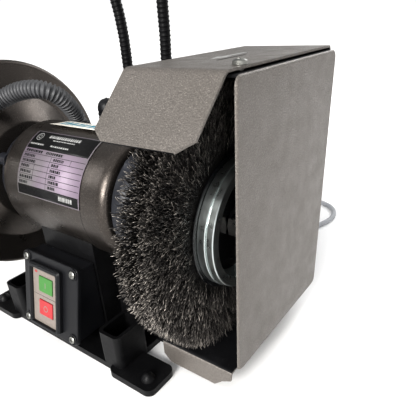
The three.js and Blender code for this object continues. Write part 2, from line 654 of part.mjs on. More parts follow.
function addLamps() {
  for (const [side, { route, aim }] of Object.entries(LAMPS)) {
    const [x, y, z] = route[0];
    const ferrule = turnedZ([[0, LID_SEAT], [12, LID_SEAT], [12, LID_SEAT + 6], [10, LID_SEAT + 8], [9, z + 3],
      [0, z + 3]]);
    const ball = new THREE.SphereGeometry(BALL_R, 12, 8).translate(...route.at(-1));
    const neck = join(ferrule.translate(x, y, 0), sweptTube(route, NECK_D, 24, 8), ball);
    part(`gooseneck_${side}`, neck, BLACK_CAST);
    const down = new THREE.Vector3(...aim).normalize();
    const head = part(`lamp_head_${side}`, lampHead(), BLACK_CAST);
    head.quaternion.setFromUnitVectors(new THREE.Vector3(0, 0, -1), down);
    head.position.set(...route.at(-1));
  }
}

// ---------- switch ----------
// The switch lies in a tilted frame: x across, y up the face, z out of the face.
function switchGroup() {
  const group = new THREE.Group();
  group.rotation.x = (90 - SWITCH.tilt) * DEG;
  group.position.set(SWITCH.x, SWITCH.y, SWITCH.z);
  grinder.add(group);
  return group;
}

const WINDOW = { x0: -26, x1: 16, y0: -84, y1: -17.5 };
const FRAME = { x0: -33, x1: 24, y0: -87, y1: -9.5 };
const BUTTON_X = -2.7;
const BUTTON_Y = { start: -33.7, stop: -63.5 };
const SCREW_SPOTS = [[-41.5, -7.5], [41.5, -7.5], [41.5, -87.5], [-41.5, -87.5]];
const SCREW_SHANK_R = 2;

// Housing behind the cover: open towards the cover, its back cut square to the column.
function switchBox() {
  const lean = SWITCH.tilt * DEG;
  const half = SWITCH.width / 2 - 3;
  const back = -COLUMN.y - GAP;
  const down = (d) => [SWITCH.y - d * Math.sin(lean), SWITCH.z - d * Math.cos(lean)];
  const behind = ([y, z], d) => [y + d * Math.cos(lean), z - d * Math.sin(lean)];
  const topFront = behind(down(3), SWITCH.lid + GAP);
  const bottomFront = behind(down(SWITCH.height - 3), SWITCH.lid + GAP);
  const outer = outline([topFront, bottomFront, [back, bottomFront[1]], [back, topFront[1]]]);
  const w = 3;
  const inner = outline([behind(down(6), 0), behind(down(SWITCH.height - 6), 0),
    [back - w, bottomFront[1] + w], [back - w, topFront[1] - w]]);
  const shell = cut(alongX(outer, SWITCH.x - half, SWITCH.x + half),
    alongX(inner, SWITCH.x - half + w, SWITCH.x + half - w));
  return cut(shell, barY(SWITCH_HOLE.r, back - w - 2, back + 2, SWITCH.x, SWITCH_HOLE.z));
}

function switchCover() {
  const { width, height, lid, frame } = SWITCH;
  const plate = alongZ(roundedRect(-width / 2, width / 2, -height, 0, 6), -lid, 0);
  const raised = alongZ(roundedRect(FRAME.x0, FRAME.x1, FRAME.y0, FRAME.y1, 2.5), -1, frame);
  const window = box(WINDOW.x0, WINDOW.x1, WINDOW.y0, WINDOW.y1, -lid - 1, frame + 1);
  const holes = SCREW_SPOTS.map(([x, y]) => barZ(SCREW_SHANK_R + 0.4, -lid - 1, 1, x, y, 8));
  return cut(join(plate, raised), window, ...holes);
}

function buttonBox(y, grow, z0, z1) {
  const u = BUTTON.width / 2 + grow;
  const v = BUTTON.height / 2 + grow;
  return box(BUTTON_X - u, BUTTON_X + u, y - v, y + v, z0, z1);
}

// Membrane behind the window, with a hole for each button.
function switchPanel() {
  const m = GAP;
  const plate = box(WINDOW.x0 + m, WINDOW.x1 - m, WINDOW.y0 + m, WINDOW.y1 - m, 0.5, 3);
  const holes = Object.values(BUTTON_Y).map((y) => buttonBox(y, 0.35, -2, 5));
  return cut(plate, ...holes);
}


function addSwitch() {
  part('switch_box', switchBox(), BLACK_PLASTIC);
  const face = switchGroup();
  part('switch_cover', switchCover(), BLACK_PLASTIC, face);
  part('switch_panel', switchPanel(), GREY_PANEL, face);
  const { back, front, travel } = BUTTON;
  part('start_button', buttonBox(BUTTON_Y.start, 0, back, front), GREEN, face);
  part('stop_button', buttonBox(BUTTON_Y.stop, 0, back, front), RED, face);
  part('switch_block', box(-18, 12, -78, -20, -16, back - travel - GAP), BLACK_PLASTIC, face);
  SCREW_SPOTS.forEach(([x, y], i) => {
    const screw = part(`switch_screw_${i + 1}`, panScrew(SCREW_SHANK_R, 5, 4.4, 3), ZINC, face);
    screw.position.set(x, y, GAP);
  });
}

// ---------- mains lead ----------
const LEAD_START = [MAINS_HOLE.x, 94, MAINS_HOLE.z];
const LEAD_ROUTE = [LEAD_START, [30, 102, 31.5], [31, 115, 26.5], [33, 130, 16], [37, 146, 7.4], [43, 163, 4.3],
  [54, 182, 4.1], [72, 208, 4.1], [95, 238, 4.1], [118, 272, 4.1], [137, 308, 4.1], [152, 348, 4.1],
  [160, 385, 4.1], [159, 418, 4.1], [147, 446, 4.1], [124, 461, 4.1], [98, 464, 4.1], [70, 461, 4.1],
  [43, 450, 4.1], [24, 430, 4.1], [16.8, 404, 4.1], [19.3, 379, 4.1]];
// The plug points to -Y from the end of its cord grip, which is at x and y.
const PLUG = { x: 28, y: 324, grip: 26, length: 38, r: 17 };

function mainsGland() {
  const { r, x, z } = MAINS_HOLE;
  const y = COLUMN.y + GAP;
  const sleeve = turnedZ([[0, y - 8], [r - 0.2, y - 8], [r - 0.2, y], [11, y], [11, y + 7], [8, y + 9],
    [5, LEAD_START[1] - GAP], [0, LEAD_START[1] - GAP]]);
  return sleeve.rotateX(-Math.PI / 2).translate(x, 0, z);
}

// Plug with its cord grip, along +Z from the grip's end; two round pins.
function mainsPlug() {
  const { grip, length, r } = PLUG;
  const face = grip + length;
  const body = turnedZ([[0, 0], [5.4, 0], [7, grip - 10], [12, grip - 6], [r, grip], [r, face - 6],
    [r - 2, face], [0, face]], MID);
  const pins = [-9.5, 9.5].map((x) => barZ(2.4, face - 2, face + 19, x, 0, 8));
  return join(body, ...pins);
}

function addMains() {
  part('mains_gland', mainsGland(), BLACK_PLASTIC);
  part('mains_lead', sweptTube(LEAD_ROUTE, LEAD.d, 44, 8), GREY_HOSE);
  const { coil, coilInner, coilOuter, coilTop } = LEAD;
  const ring = turnedZ(ringProfile(coilInner, coilOuter, 0.1, coilTop), 28);
  part('mains_lead_coil', ring.translate(coil[0], coil[1], 0), GREY_HOSE);
  const plug = part('mains_plug', mainsPlug(), GREY_HOSE);
  plug.rotation.x = Math.PI / 2;
  plug.position.set(PLUG.x, PLUG.y, PLUG.r + 0.2);
}

addBase();
addMotor();
addSpindle();
addBrushGuard();
addWheelGuard();
addTerminals();
addLamps();
addSwitch();
addMains();

export default grinder;
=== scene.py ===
"""Looks of the bench grinder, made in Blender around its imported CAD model.

Shapes are given in millimetres, as in the CAD, and turned into metres when a mesh is made.
+X runs along the spindle towards the wire brush, the front faces -Y and +Z is up.
"""
import json
import math

import bmesh
import bpy
import numpy as np
from mathutils import Matrix, Vector


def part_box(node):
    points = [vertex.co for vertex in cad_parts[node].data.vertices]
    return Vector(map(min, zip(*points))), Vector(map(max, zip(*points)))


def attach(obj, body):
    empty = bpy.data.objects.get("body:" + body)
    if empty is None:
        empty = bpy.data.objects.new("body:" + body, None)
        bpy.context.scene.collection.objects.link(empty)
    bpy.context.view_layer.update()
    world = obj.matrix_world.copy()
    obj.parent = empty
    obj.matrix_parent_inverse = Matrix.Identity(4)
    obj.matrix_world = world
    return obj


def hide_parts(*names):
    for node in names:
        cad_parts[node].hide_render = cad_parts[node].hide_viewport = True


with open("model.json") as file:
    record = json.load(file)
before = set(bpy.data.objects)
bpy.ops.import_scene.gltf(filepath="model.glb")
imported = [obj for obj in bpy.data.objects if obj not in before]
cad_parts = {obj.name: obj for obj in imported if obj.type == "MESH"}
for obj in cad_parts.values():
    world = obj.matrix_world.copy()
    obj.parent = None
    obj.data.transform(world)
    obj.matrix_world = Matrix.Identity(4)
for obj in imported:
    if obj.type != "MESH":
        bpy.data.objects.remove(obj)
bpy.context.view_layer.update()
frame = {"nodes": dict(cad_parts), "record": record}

MM = 0.001
ROUND = 96  # sides of a large turned piece
CREASE = 32  # degrees; edges sharper than this stay crisp
random = np.random.default_rng(7)

# ---------- camera and light, in metres and degrees ----------
CAMERA_AT = (0.380, -0.3046, 0.345)
CAMERA_TURN = {"azimuth": 37.5, "down": 29.0, "roll": 3.5}
SENSOR = 36
LENS_PER_SENSOR = 0.9976
SHIFT = (0.024, 0.0885)
EXPOSURE, GAMMA = -0.1, 0.88
KEY_LIGHT = {"energy": 5.5, "spread": 28, "color": (1.0, 0.985, 0.96), "from": (0.08, -0.88, 0.44)}
# Name, place, aim, width, power and height; a light with no height is square.
AREA_LIGHTS = (("side", (-1.5, -1.1, 1.2), (0.0, 0, 0.15), 0.9, 10, None),
               ("back", (0.25, 1.7, 1.25), (0.0, 0, 0.2), 0.9, 15, None),
               ("strip", (1.6, -1.5, 0.8), (0.1, 0, 0.17), 0.2, 8, 1.7))
# The sky's colours by height above the horizon.
SKY = ((0.065, (1, 1, 1)), (0.4, (0.265, 0.27, 0.275)), (1.0, (1, 1, 1)))
SKY_STRENGTH = 1.13
FLOOR_HALF = 12

# ---------- driving dimensions, in millimetres and degrees ----------
AXIS_H = 172.0  # spindle height

LEAD_D = 8.0
LEAD_EXIT = (30, 94, 32)
LEAD_ON_BENCH = [LEAD_EXIT, (30, 102, 31.5), (31, 115, 26.5), (33, 130, 16), (37, 146, 7.4), (43, 163, 4.3),
                 (54, 182, 4.1), (72, 208, 4.1), (95, 238, 4.1), (118, 272, 4.1), (138, 318, 4.1),
                 (152.5, 357, 4.1), (159, 382, 4.1), (158.5, 404, 4.1), (151, 424, 4.1), (137, 440, 4.1),
                 (118, 449.5, 4.1), (95, 453.5, 4.1), (70, 453, 4.1), (45, 446, 4.1), (26, 428, 4.1),
                 (17.6, 404, 4.1), (19.3, 379, 4.1)]
COIL = {"x": 70, "y": 360, "outer": 46, "inner": 38, "top": 42, "layers": (4.1, 12.1, 18.9)}
LEAD_TO_PLUG = [(28, 360, 18.9), (28, 350, 18.4), (28, 338, 17.5), (28, 322, 17.2)]
PLUG_AT = (28, 324, 17.2)
PIN_SPREAD = 9.5
TIE = {"half": 2.1, "thick": 0.8}
STRAIN_RELIEF = 34

MOTOR_R = 70.0
TUBE = {"half": 88, "shoulder": 13, "drop": 7.5, "bore": 60}
SEAM = {"x": (52.2, 52.7), "angles": (-34, 4), "depth": 0.2, "rise": 0.12}
# Outside of an end bell from its rim to the bearing boss, and one screw boss, as (x, radius).
BELL = [(88.3, 40), (88.3, 60.2), (89.5, 61.6), (94, 61.4), (100, 60.2), (106, 57.6), (112, 52.6),
        (116.3, 47.3), (118, 43), (119, 36), (121.6, 34), (124.2, 31), (124.5, 28), (124.5, 15), (108.5, 15),
        (108.5, 40), (88.3, 40)]
BOSS = [(93, 0), (93, 8.2), (107, 8.0), (108.6, 7.2), (109, 6.2), (109, 5.1), (106.6, 4.8), (106.6, 0)]
BOSSES = {"r": 57, "angles": (56, 146, 236, 326), "seat": 106.5, "screw": (4.3, 2.6)}
RIB = {"x": (93, 114), "r": (38, 59), "half": 1.6, "slope": 0.62, "first": 11, "every": 45}
PLATE = {"half": 52.5, "low": 5.5, "high": 69.5, "head": 49.0, "foot": 15.0, "edge": 0.9, "margin": 1.3}
LABEL = {"angles": (102.5, 79.0), "x": (-46, 62), "print": (-40.0, 54), "lift": 3.2, "glue": 0.35}

BRUSH_R = 128.0
WIRE = {"rings": 7, "sides": 3, "r": 0.27, "x_min": 152.0, "x_max": 198.0}
NUT = {"flats": 14.6, "corners": 16.8, "bore": 10.2, "chamfer": 1.2}
WHEEL_WEAR = (0.0012, 0.0006)

GUARD = {"x0": 125.5, "x1": 220.5, "y0": -52.5, "y1": 137, "z0": 32, "z1": 312, "sheet": 2}
GUARD_SCREW = {"r": 5.6, "height": 4.0}
HOOD = {"length": 65, "slope": 44, "bend": 9.0}
LIP = {"y": -53.5, "foot": 7.0, "bend": 3.2}
REAR_BEND = 3.5
PANEL_HOLE = 24
COVER = {"y": (-52.5, 134.7), "z": (37.0, 308.4), "x": (225.3, 227.6), "flange": 15.0, "corner": 7}

STATION = {"at": (-4, -83, 112), "lean": 13.9}
STATION_SCREWS = ((-41.5, -7.5), (41.5, -7.5), (41.5, -87.5), (-41.5, -87.5))
BUTTON_U = -2.7
BUTTON_V = {"start_button": -33.7, "stop_button": -63.5}
BUTTON_HALF = (12.4, 9.7)
HOLE_HALF = (12.85, 10.1)

CONDUIT = [(-77, 50, 230.8), (-77, 50, 232), (-77, 49.5, 237), (-75.5, 43, 246), (-72, 33, 257.5),
           (-72, 24, 266.9), (-76, 13.5, 274.2), (-86.4, 5.6, 277.2), (-102.5, -2.2, 276.5),
           (-117.4, -10.1, 272.4), (-129, -19, 266), (-134, -32, 260), (-134, -46, 255.5), (-134, -58, 254),
           (-134, -64.5, 254), (-134, -66, 254)]
NECKS = {"left": [(-13, 90, 224.3), (-13, 90, 252), (-14, 90, 292), (-15, 90, 329), (-21, 90, 365),
                  (-33, 86, 402), (-56, 72, 440), (-88, 48, 468), (-122, 14, 478), (-148, -22, 470),
                  (-160, -48, 454)],
         "right": [(48, 90, 224.3), (48, 90, 262), (48, 90, 301), (49, 90, 328), (49.5, 89.5, 361),
                   (55, 85, 400), (72, 68, 440), (100, 38, 468), (130, 2, 474), (148, -30, 466),
                   (157, -50, 452)]}
AIMS = {"left": (-0.35, -0.65, -1), "right": (0.3, -0.6, -1)}
BALL_R = 8

SHELL = {"r": 137.0, "sheet": 2.5, "outer": -214.0, "inner": -150.0, "hub": -124.8, "roll": 6.0,
         "mouth_y": -96.0, "mouth_z": (118.0, 272.0)}
COVER_SCREWS = {"r": 118, "angles": (70, 130, 200, 260)}
DEFLECTOR = {"at": (0, -97.5, 268), "lean": 22, "screws": (-193, -167)}
SHIELD = {"y": -112, "z": 292, "tilt": 38, "x0": -208, "x1": -150, "drop": 104, "half": 2}


# ---------- camera, light and floor ----------
def link(name, data):
    """A new object for some data, in the scene."""
    obj = bpy.data.objects.new(name, data)
    bpy.context.scene.collection.objects.link(obj)
    return obj


def add_camera():
    """The camera stands in front of the brush's end, looks down at the motor and is rolled a little."""
    azimuth, down, roll = (math.radians(CAMERA_TURN[k]) for k in ("azimuth", "down", "roll"))
    back = Vector((math.sin(azimuth) * math.cos(down), -math.cos(azimuth) * math.cos(down), math.sin(down)))
    right = (-back).cross(Vector((0, 0, 1))).normalized()
    up = back.cross(right)
    x_axis = right * math.cos(roll) - up * math.sin(roll)
    y_axis = back.cross(x_axis)
    data = bpy.data.cameras.new("camera")
    data.sensor_width = SENSOR
    data.lens = SENSOR * LENS_PER_SENSOR
    data.shift_x, data.shift_y = SHIFT
    data.clip_start = 0.01
    camera = link("camera", data)
    turn = Matrix((x_axis, y_axis, back)).transposed().to_4x4()
    camera.matrix_world = Matrix.Translation(CAMERA_AT) @ turn
    bpy.context.scene.camera = camera


def aimed_back(direction):
    """The turn of a light whose back points in a direction."""
    return Vector(direction).to_track_quat("Z", "Y").to_matrix().to_4x4()


def add_area_light(name, at, target, size, power, height):
    data = bpy.data.lights.new(name, "AREA")
    data.size = size
    data.energy = power
    if height:
        data.shape = "RECTANGLE"
        data.size_y = height
    at, target = Vector(at), Vector(target)
    link(name, data).matrix_world = Matrix.Translation(at) @ aimed_back(at - target)


def add_key_light():
    """A broad, low light from the front that falls evenly on the object and the floor."""
    data = bpy.data.lights.new("key", "SUN")
    data.energy = KEY_LIGHT["energy"]
    data.angle = math.radians(KEY_LIGHT["spread"])
    data.color = KEY_LIGHT["color"]
    link("key", data).matrix_world = aimed_back(KEY_LIGHT["from"])


def add_sky():
    """White at the horizon, so that the floor has no visible end, then a soft grey, and white overhead."""
    world = bpy.data.worlds.new("studio")
    bpy.context.scene.world = world
    world.use_nodes = True
    nodes, links = world.node_tree.nodes, world.node_tree.links
    height = nodes.new("ShaderNodeSeparateXYZ")
    links.new(nodes.new("ShaderNodeTexCoord").outputs["Generated"], height.inputs["Vector"])
    ramp = nodes.new("ShaderNodeValToRGB")
    links.new(height.outputs["Z"], ramp.inputs["Fac"])
    fill_ramp(ramp.color_ramp, SKY)
    background = nodes["Background"]
    background.inputs["Strength"].default_value = SKY_STRENGTH
    links.new(ramp.outputs["Color"], background.inputs["Color"])


def add_floor():
    paper = Surface("studio_floor", roughness=0.7)
    paper.color(paper.ramp(paper.noise(3, 2), (0.3, (0.92, 0.92, 0.92)), (0.7, (0.95, 0.95, 0.95))))
    mesh = bpy.data.meshes.new("floor")
    r = FLOOR_HALF
    mesh.from_pydata([(-r, -r, 0), (r, -r, 0), (r, r, 0), (-r, r, 0)], [], [(0, 1, 2, 3)])
    mesh.materials.append(paper.material)
    link("floor", mesh)


def add_studio():
    """A pale floor and a soft sky, with a key light and three weaker ones."""
    add_sky()
    add_key_light()
    for row in AREA_LIGHTS:
        add_area_light(*row)
    add_floor()
    view = bpy.context.scene.view_settings
    view.view_transform = "Standard"
    view.exposure = EXPOSURE
    view.gamma = GAMMA


# ---------- materials ----------
def fill_ramp(ramp, stops):
    """Gives a colour ramp its stops, each a position and a colour."""
    while len(ramp.elements) < len(stops):
        ramp.elements.new(0.5)
    for element, (at, color) in zip(ramp.elements, stops):
        element.position = at
        element.color = (*color, 1)


class Surface:
    """A Principled material whose colour, roughness and bump come from node patterns in object space."""

    def __init__(self, name, roughness=0.5, metallic=0.0):
        self.material = bpy.data.materials.new(name)
        self.material.use_nodes = True
        self.nodes = self.material.node_tree.nodes
        self.links = self.material.node_tree.links
        self.shader = self.nodes["Principled BSDF"]
        self.shader.inputs["Roughness"].default_value = roughness
        self.shader.inputs["Metallic"].default_value = metallic
        self.place = self.nodes.new("ShaderNodeTexCoord").outputs["Object"]

    def put(self, socket, value):
        if isinstance(value, bpy.types.NodeSocket):
            self.links.new(value, socket)
        elif isinstance(value, tuple) and len(value) == 3 and socket.type == "RGBA":
            socket.default_value = (*value, 1)
        else:
            socket.default_value = value

    def node(self, kind, settings, inputs):
        made = self.nodes.new(kind)
        for key, value in settings.items():
            setattr(made, key, value)
        for key, value in inputs.items():
            self.put(made.inputs[key], value)
        return made

    def color(self, value):
        self.put(self.shader.inputs["Base Color"], value)

    def roughness(self, fac, low, high):
        self.put(self.shader.inputs["Roughness"], self.span(fac, low, high))

    def fixed(self, **values):
        """Numbers that are the same all over, set on the shader's own sockets."""
        for key, value in values.items():
            self.shader.inputs[key.replace("_", " ")].default_value = value

    def noise(self, scale, detail=4.0, rough=0.55, place=None):
        inputs = {"Vector": place or self.place, "Scale": scale, "Detail": detail, "Roughness": rough}
        return self.node("ShaderNodeTexNoise", {}, inputs).outputs["Fac"]

    def cells(self, scale):
        made = self.node("ShaderNodeTexVoronoi", {"feature": "F1"}, {"Vector": self.place, "Scale": scale})
        return made.outputs["Distance"]

    def ramp(self, fac, *stops):
        made = self.node("ShaderNodeValToRGB", {}, {"Fac": fac})
        fill_ramp(made.color_ramp, stops)
        return made.outputs["Color"]

    def span(self, fac, low, high, start=0.3, end=0.7):
        inputs = {"Value": fac, "From Min": start, "From Max": end, "To Min": low, "To Max": high}
        return self.node("ShaderNodeMapRange", {}, inputs).outputs["Result"]

    def math(self, operation, *values):
        made = self.node("ShaderNodeMath", {"operation": operation}, dict(enumerate(values)))
        return made.outputs["Value"]

    def mix(self, fac, a, b, mode="MIX"):
        made = self.nodes.new("ShaderNodeMix")
        made.data_type = "RGBA"
        made.blend_type = mode
        for index, value in ((0, fac), (6, a), (7, b)):
            self.put(made.inputs[index], value)
        return made.outputs[2]

    def bump(self, height, distance, strength=1.0):
        """Adds relief of this many millimetres, on top of any relief already there."""
        socket = self.shader.inputs["Normal"]
        inputs = {"Height": height, "Distance": distance * MM, "Strength": strength}
        if socket.is_linked:
            inputs["Normal"] = socket.links[0].from_socket
        self.put(socket, self.node("ShaderNodeBump", {}, inputs).outputs["Normal"])

    def spindle_radius(self):
        """Distance from the spindle's axis, for turned marks that run round it."""
        parts = self.node("ShaderNodeSeparateXYZ", {}, {"Vector": self.place}).outputs
        z = self.math("SUBTRACT", parts["Z"], AXIS_H * MM)
        return self.math("SQRT", self.math("ADD", self.math("MULTIPLY", parts["Y"], parts["Y"]),
                                           self.math("MULTIPLY", z, z)))

    def turned_marks(self, per_mm, distance):
        place = self.node("ShaderNodeCombineXYZ", {}, {"X": self.spindle_radius()}).outputs["Vector"]
        marks = self.noise(per_mm / MM, 3, 0.6, place)
        self.bump(marks, distance)
        return marks


def paint(name, dark, light, metallic, grain, rough, relief):
    """Hammered enamel: shallow dimples a millimetre or two apart, with painted shade in their hollows,
    speckled with metal flake painted brighter, partly as painted glints.
    """
    s = Surface(name, metallic=metallic)
    dimples = s.noise(grain, 2, 0.6)
    flakes_and_glints = s.noise(1.3 * grain, 1, 0.5)
    cloud = s.noise(14, 3)
    base = s.mix(s.span(cloud, 0.0, 1.0), dark, light)
    # Bright flecks: metal flake, partly painted glints of the hammered surface.
    speckled = s.mix(s.span(flakes_and_glints, 0.0, 0.55, 0.55, 0.75), base, tuple(2.3 * c for c in light))
    # Painted shade: the dimples' hollows are darkened in colour.
    s.color(s.mix(s.span(dimples, 0.4, 0.0, 0.3, 0.55), speckled, tuple(0.5 * c for c in dark)))
    s.roughness(s.noise(60, 3), rough, rough + 0.14)
    s.bump(dimples, relief, 0.8)
    s.bump(flakes_and_glints, 0.1, 0.6)
    return s.material


def cast_enamel(name, tone, rough):
    """Black enamel on a sand casting: orange-peel relief, dust on it and paler worn spots."""
    s = Surface(name, metallic=0.1)
    dust = s.noise(35, 6, 0.7)
    specks = s.noise(900, 2)
    base = s.mix(s.span(dust, 0.0, 1.0, 0.5, 0.9), tone, tuple(2.4 * c + 0.002 for c in tone))
    s.color(s.mix(s.span(specks, 0.0, 0.5, 0.68, 0.8), base, (0.13, 0.125, 0.12)))
    s.roughness(dust, rough, rough + 0.2)
    s.bump(s.noise(170, 4, 0.6), 0.35, 0.6)
    s.bump(s.noise(1100, 2), 0.05, 0.5)
    s.fixed(Specular_IOR_Level=0.2)
    return s.material


def plastic(name, tone, rough, grain=0.05, shine=0.35):
    """Moulded plastic with a fine spark-eroded grain and faint handling marks."""
    s = Surface(name)
    marks = s.noise(22, 5, 0.65)
    s.color(s.mix(s.span(marks, 0.0, 0.7), tone, tuple(1.35 * c + 0.004 for c in tone)))
    s.roughness(marks, rough - 0.06, rough + 0.1)
    s.bump(s.noise(1500, 3, 0.6), grain, 0.6)
    s.fixed(Specular_IOR_Level=shine)
    return s.material


def turned_metal(name, dark, light, rough, marks):
    """Metal finished on a lathe: fine rings round the spindle."""
    s = Surface(name, metallic=1.0)
    rings = s.turned_marks(marks, 0.02)
    s.color(s.mix(s.span(rings, 0.0, 1.0), dark, light))
    s.roughness(s.noise(90, 3), rough, rough + 0.12)
    return s.material


def plated(name, dark, light, rough):
    """Bright zinc with slight clouding and pitting."""
    s = Surface(name, metallic=1.0)
    cloud = s.noise(160, 5, 0.65)
    s.color(s.mix(s.span(cloud, 0.0, 1.0), dark, light))
    s.roughness(cloud, rough, rough + 0.2)
    s.bump(s.noise(700, 3), 0.05, 0.5)
    return s.material


def wire_metal():
    """Crimped steel wire; each wire has a tone of its own, with painted shade that darkens it towards its
    root, kept on its mesh.
    """
    s = Surface("crimped_wire", metallic=0.85)
    shade = s.node("ShaderNodeAttribute", {"attribute_name": "shade"}, {}).outputs["Fac"]
    s.color(s.ramp(shade, (0.0, (0.012, 0.011, 0.011)), (0.45, (0.07, 0.064, 0.06)),
                   (0.8, (0.23, 0.21, 0.19)), (1.0, (0.46, 0.422, 0.38))))
    s.roughness(s.noise(500, 2), 0.3, 0.5)
    return s.material


def abrasive():
    """Bonded grit: pale and dark grains in a grey bond, rough to the touch."""
    s = Surface("bonded_grit")
    grains = s.cells(900)
    tint = s.noise(700, 2)
    s.color(s.mix(s.span(tint, 0.0, 1.0), (0.22, 0.23, 0.24), (0.5, 0.51, 0.52)))
    s.roughness(tint, 0.85, 0.98)
    s.bump(grains, 0.4, 0.9)
    return s.material


def mottled(name, pattern, stops, rough, relief=None, metallic=0.0, **fixed):
    """One noise drives colour and roughness; relief adds the noise in its first three numbers as bumps."""
    s = Surface(name, metallic=metallic)
    fac = s.noise(*pattern)
    s.color(s.ramp(fac, *stops))
    s.roughness(fac, *rough)
    if relief:
        *grain, depth, strength = relief
        s.bump(s.noise(*grain), depth, strength)
    s.fixed(**fixed)
    return s.material


def brush_root():
    """The dark mass deep in the brush, where the wires crowd together; its near-black colour is painted
    shade, the shadow among the packed wires.
    """
    strands = (420, 5, 0.75)
    # Painted shade: near-black for the shadow deep among the wires.
    stops = ((0.4, (0.004, 0.004, 0.004)), (0.75, (0.03, 0.027, 0.024)))
    return mottled("brush_root", strands, stops, (0.5, 0.8), (*strands, 1.2, 0.9), metallic=0.4)


def hose_plastic():
    """Grey ribbed hose; its ribs hold a little dirt."""
    stops = ((0.25, (0.04, 0.041, 0.044)), (0.6, (0.078, 0.079, 0.084)), (0.85, (0.15, 0.15, 0.154)))
    return mottled("hose_plastic", (45, 5, 0.7), stops, (0.38, 0.6), (900, 2, 0.55, 0.05, 0.5))


def sheath_rubber():
    """The lead's grey rubber, a little scuffed."""
    stops = ((0.3, (0.30, 0.31, 0.33)), (0.7, (0.42, 0.43, 0.45)))
    return mottled("lead_sheath", (70, 5, 0.7), stops, (0.45, 0.65), (1400, 2, 0.55, 0.04, 0.5))


def membrane():
    """The printed film round the two buttons, warm grey and matt."""
    stops = ((0.3, (0.17, 0.145, 0.128)), (0.7, (0.21, 0.18, 0.16)))
    return mottled("panel_film", (260, 4), stops, (0.5, 0.7), (1200, 2, 0.55, 0.03, 0.5))


def plate_white():
    """The printed plate's light ground, which shifts a little from white to lilac."""
    s = Surface("plate_white", metallic=0.15)
    drift = s.noise(16, 1)
    s.color(s.ramp(drift, (0.35, (0.185, 0.181, 0.176)), (0.65, (0.185, 0.142, 0.19))))
    s.roughness(s.noise(300, 3), 0.42, 0.52)
    return s.material


def sticker_paper(name, low, high):
    """Paper with a fine fibre, and slightly cockled."""
    return mottled(name, (420, 5, 0.7), ((0.3, low), (0.7, high)), (0.55, 0.75), (220, 3, 0.55, 0.08, 0.4))


def printed_ink(name, tone):
    """Ink with paler worn spots."""
    s = Surface(name)
    wear = s.noise(500, 4, 0.7)
    s.color(s.mix(s.span(wear, 0.0, 0.6, 0.5, 0.9), tone, tuple(1.8 * c + 0.02 for c in tone)))
    s.roughness(wear, 0.3, 0.5)
    s.fixed(Specular_IOR_Level=0.2)
    return s.material


def clear_pane():
    """Clear polycarbonate, faintly hazed by dust and fine scratches."""
    stops = ((0.3, (0.86, 0.9, 0.9)), (0.7, (0.95, 0.97, 0.97)))
    return mottled("clear_pane", (60, 6, 0.75), stops, (0.03, 0.16), IOR=1.5, Transmission_Weight=0.95)


def lamp_glow():
    """The lamp's frosted diffuser, switched off."""
    stops = ((0.3, (0.75, 0.75, 0.7)), (0.7, (0.85, 0.85, 0.8)))
    return mottled("diffuser", (800, 3), stops, (0.3, 0.5), (800, 3, 0.55, 0.1, 0.5))


def make_finishes():
    """Every material by the name that pieces ask for."""
    return {
        "hammered": paint("hammered_bronze", (0.052, 0.0452, 0.0405), (0.084, 0.0735, 0.066),
                          metallic=0.85, grain=800, rough=0.25, relief=0.06),
        "guard": paint("hammered_grey", (0.134, 0.121, 0.109), (0.151, 0.137, 0.125),
                       metallic=0.35, grain=720, rough=0.34, relief=0.8),
        "inside": cast_enamel("guard_inside", (0.006, 0.006, 0.007), rough=0.45),
        "cast": cast_enamel("black_casting", (0.0038, 0.0038, 0.0043), rough=0.36),
        "bell": cast_enamel("black_bell", (0.02, 0.0212, 0.026), rough=0.2),
        "plastic": plastic("black_moulding", (0.004, 0.0042, 0.0056), rough=0.38, shine=0.25),
        "neck": plastic("black_strip", (0.002, 0.002, 0.0026), rough=0.42, shine=0.13),
        "gloss": plastic("gloss_black", (0.004, 0.0042, 0.005), rough=0.14, grain=0.0, shine=0.5),
        "green": plastic("green_button", (0.04, 0.145, 0.03), rough=0.42, grain=0.03),
        "red": plastic("red_button", (0.3, 0.026, 0.03), rough=0.42, grain=0.03),
        "hub": turned_metal("black_turned", (0.45, 0.483, 0.476), (0.62, 0.665, 0.656),
                            rough=0.25, marks=0.5),
        "steel": turned_metal("turned_steel", (0.35, 0.34, 0.32), (0.6, 0.59, 0.56), rough=0.24, marks=0.9),
        "zinc": plated("zinc_plate", (0.16, 0.16, 0.15), (0.32, 0.32, 0.3), rough=0.26),
        "copper": plated("copper_wire", (0.45, 0.2, 0.09), (0.7, 0.36, 0.18), rough=0.3),
        "wire": wire_metal(),
        "root": brush_root(),
        "stone": abrasive(),
        "blotter": sticker_paper("wheel_blotter", (0.1, 0.2, 0.36), (0.14, 0.26, 0.44)),
        "hose": hose_plastic(),
        "sheath": sheath_rubber(),
        "film": membrane(),
        "plate": plate_white(),
        "ink": printed_ink("black_ink", (0.006, 0.006, 0.0065)),
        "paper": sticker_paper("label_paper", (0.74, 0.7, 0.62), (0.84, 0.81, 0.74)),
        "teal": printed_ink("teal_ink", (0.03, 0.2, 0.28)),
        "white": printed_ink("white_ink", (0.3, 0.3, 0.295)),
        "pane": clear_pane(),
        "diffuser": lamp_glow(),
    }


FINISH = make_finishes()


# ---------- shapes, in millimetres ----------
# Turns a shape drawn in (y, z) with its height along X the right way up.
ACROSS = Matrix(((0, 0, 1, 0), (1, 0, 0, 0), (0, 1, 0, 0), (0, 0, 0, 1)))


def block(lo, hi):
    """A box between two corners, as (points, faces)."""
    points = [(x, y, z) for x in (lo[0], hi[0]) for y in (lo[1], hi[1]) for z in (lo[2], hi[2])]
    faces = [(0, 1, 3, 2), (4, 6, 7, 5), (0, 4, 5, 1), (2, 3, 7, 6), (0, 2, 6, 4), (1, 5, 7, 3)]
    return points, faces


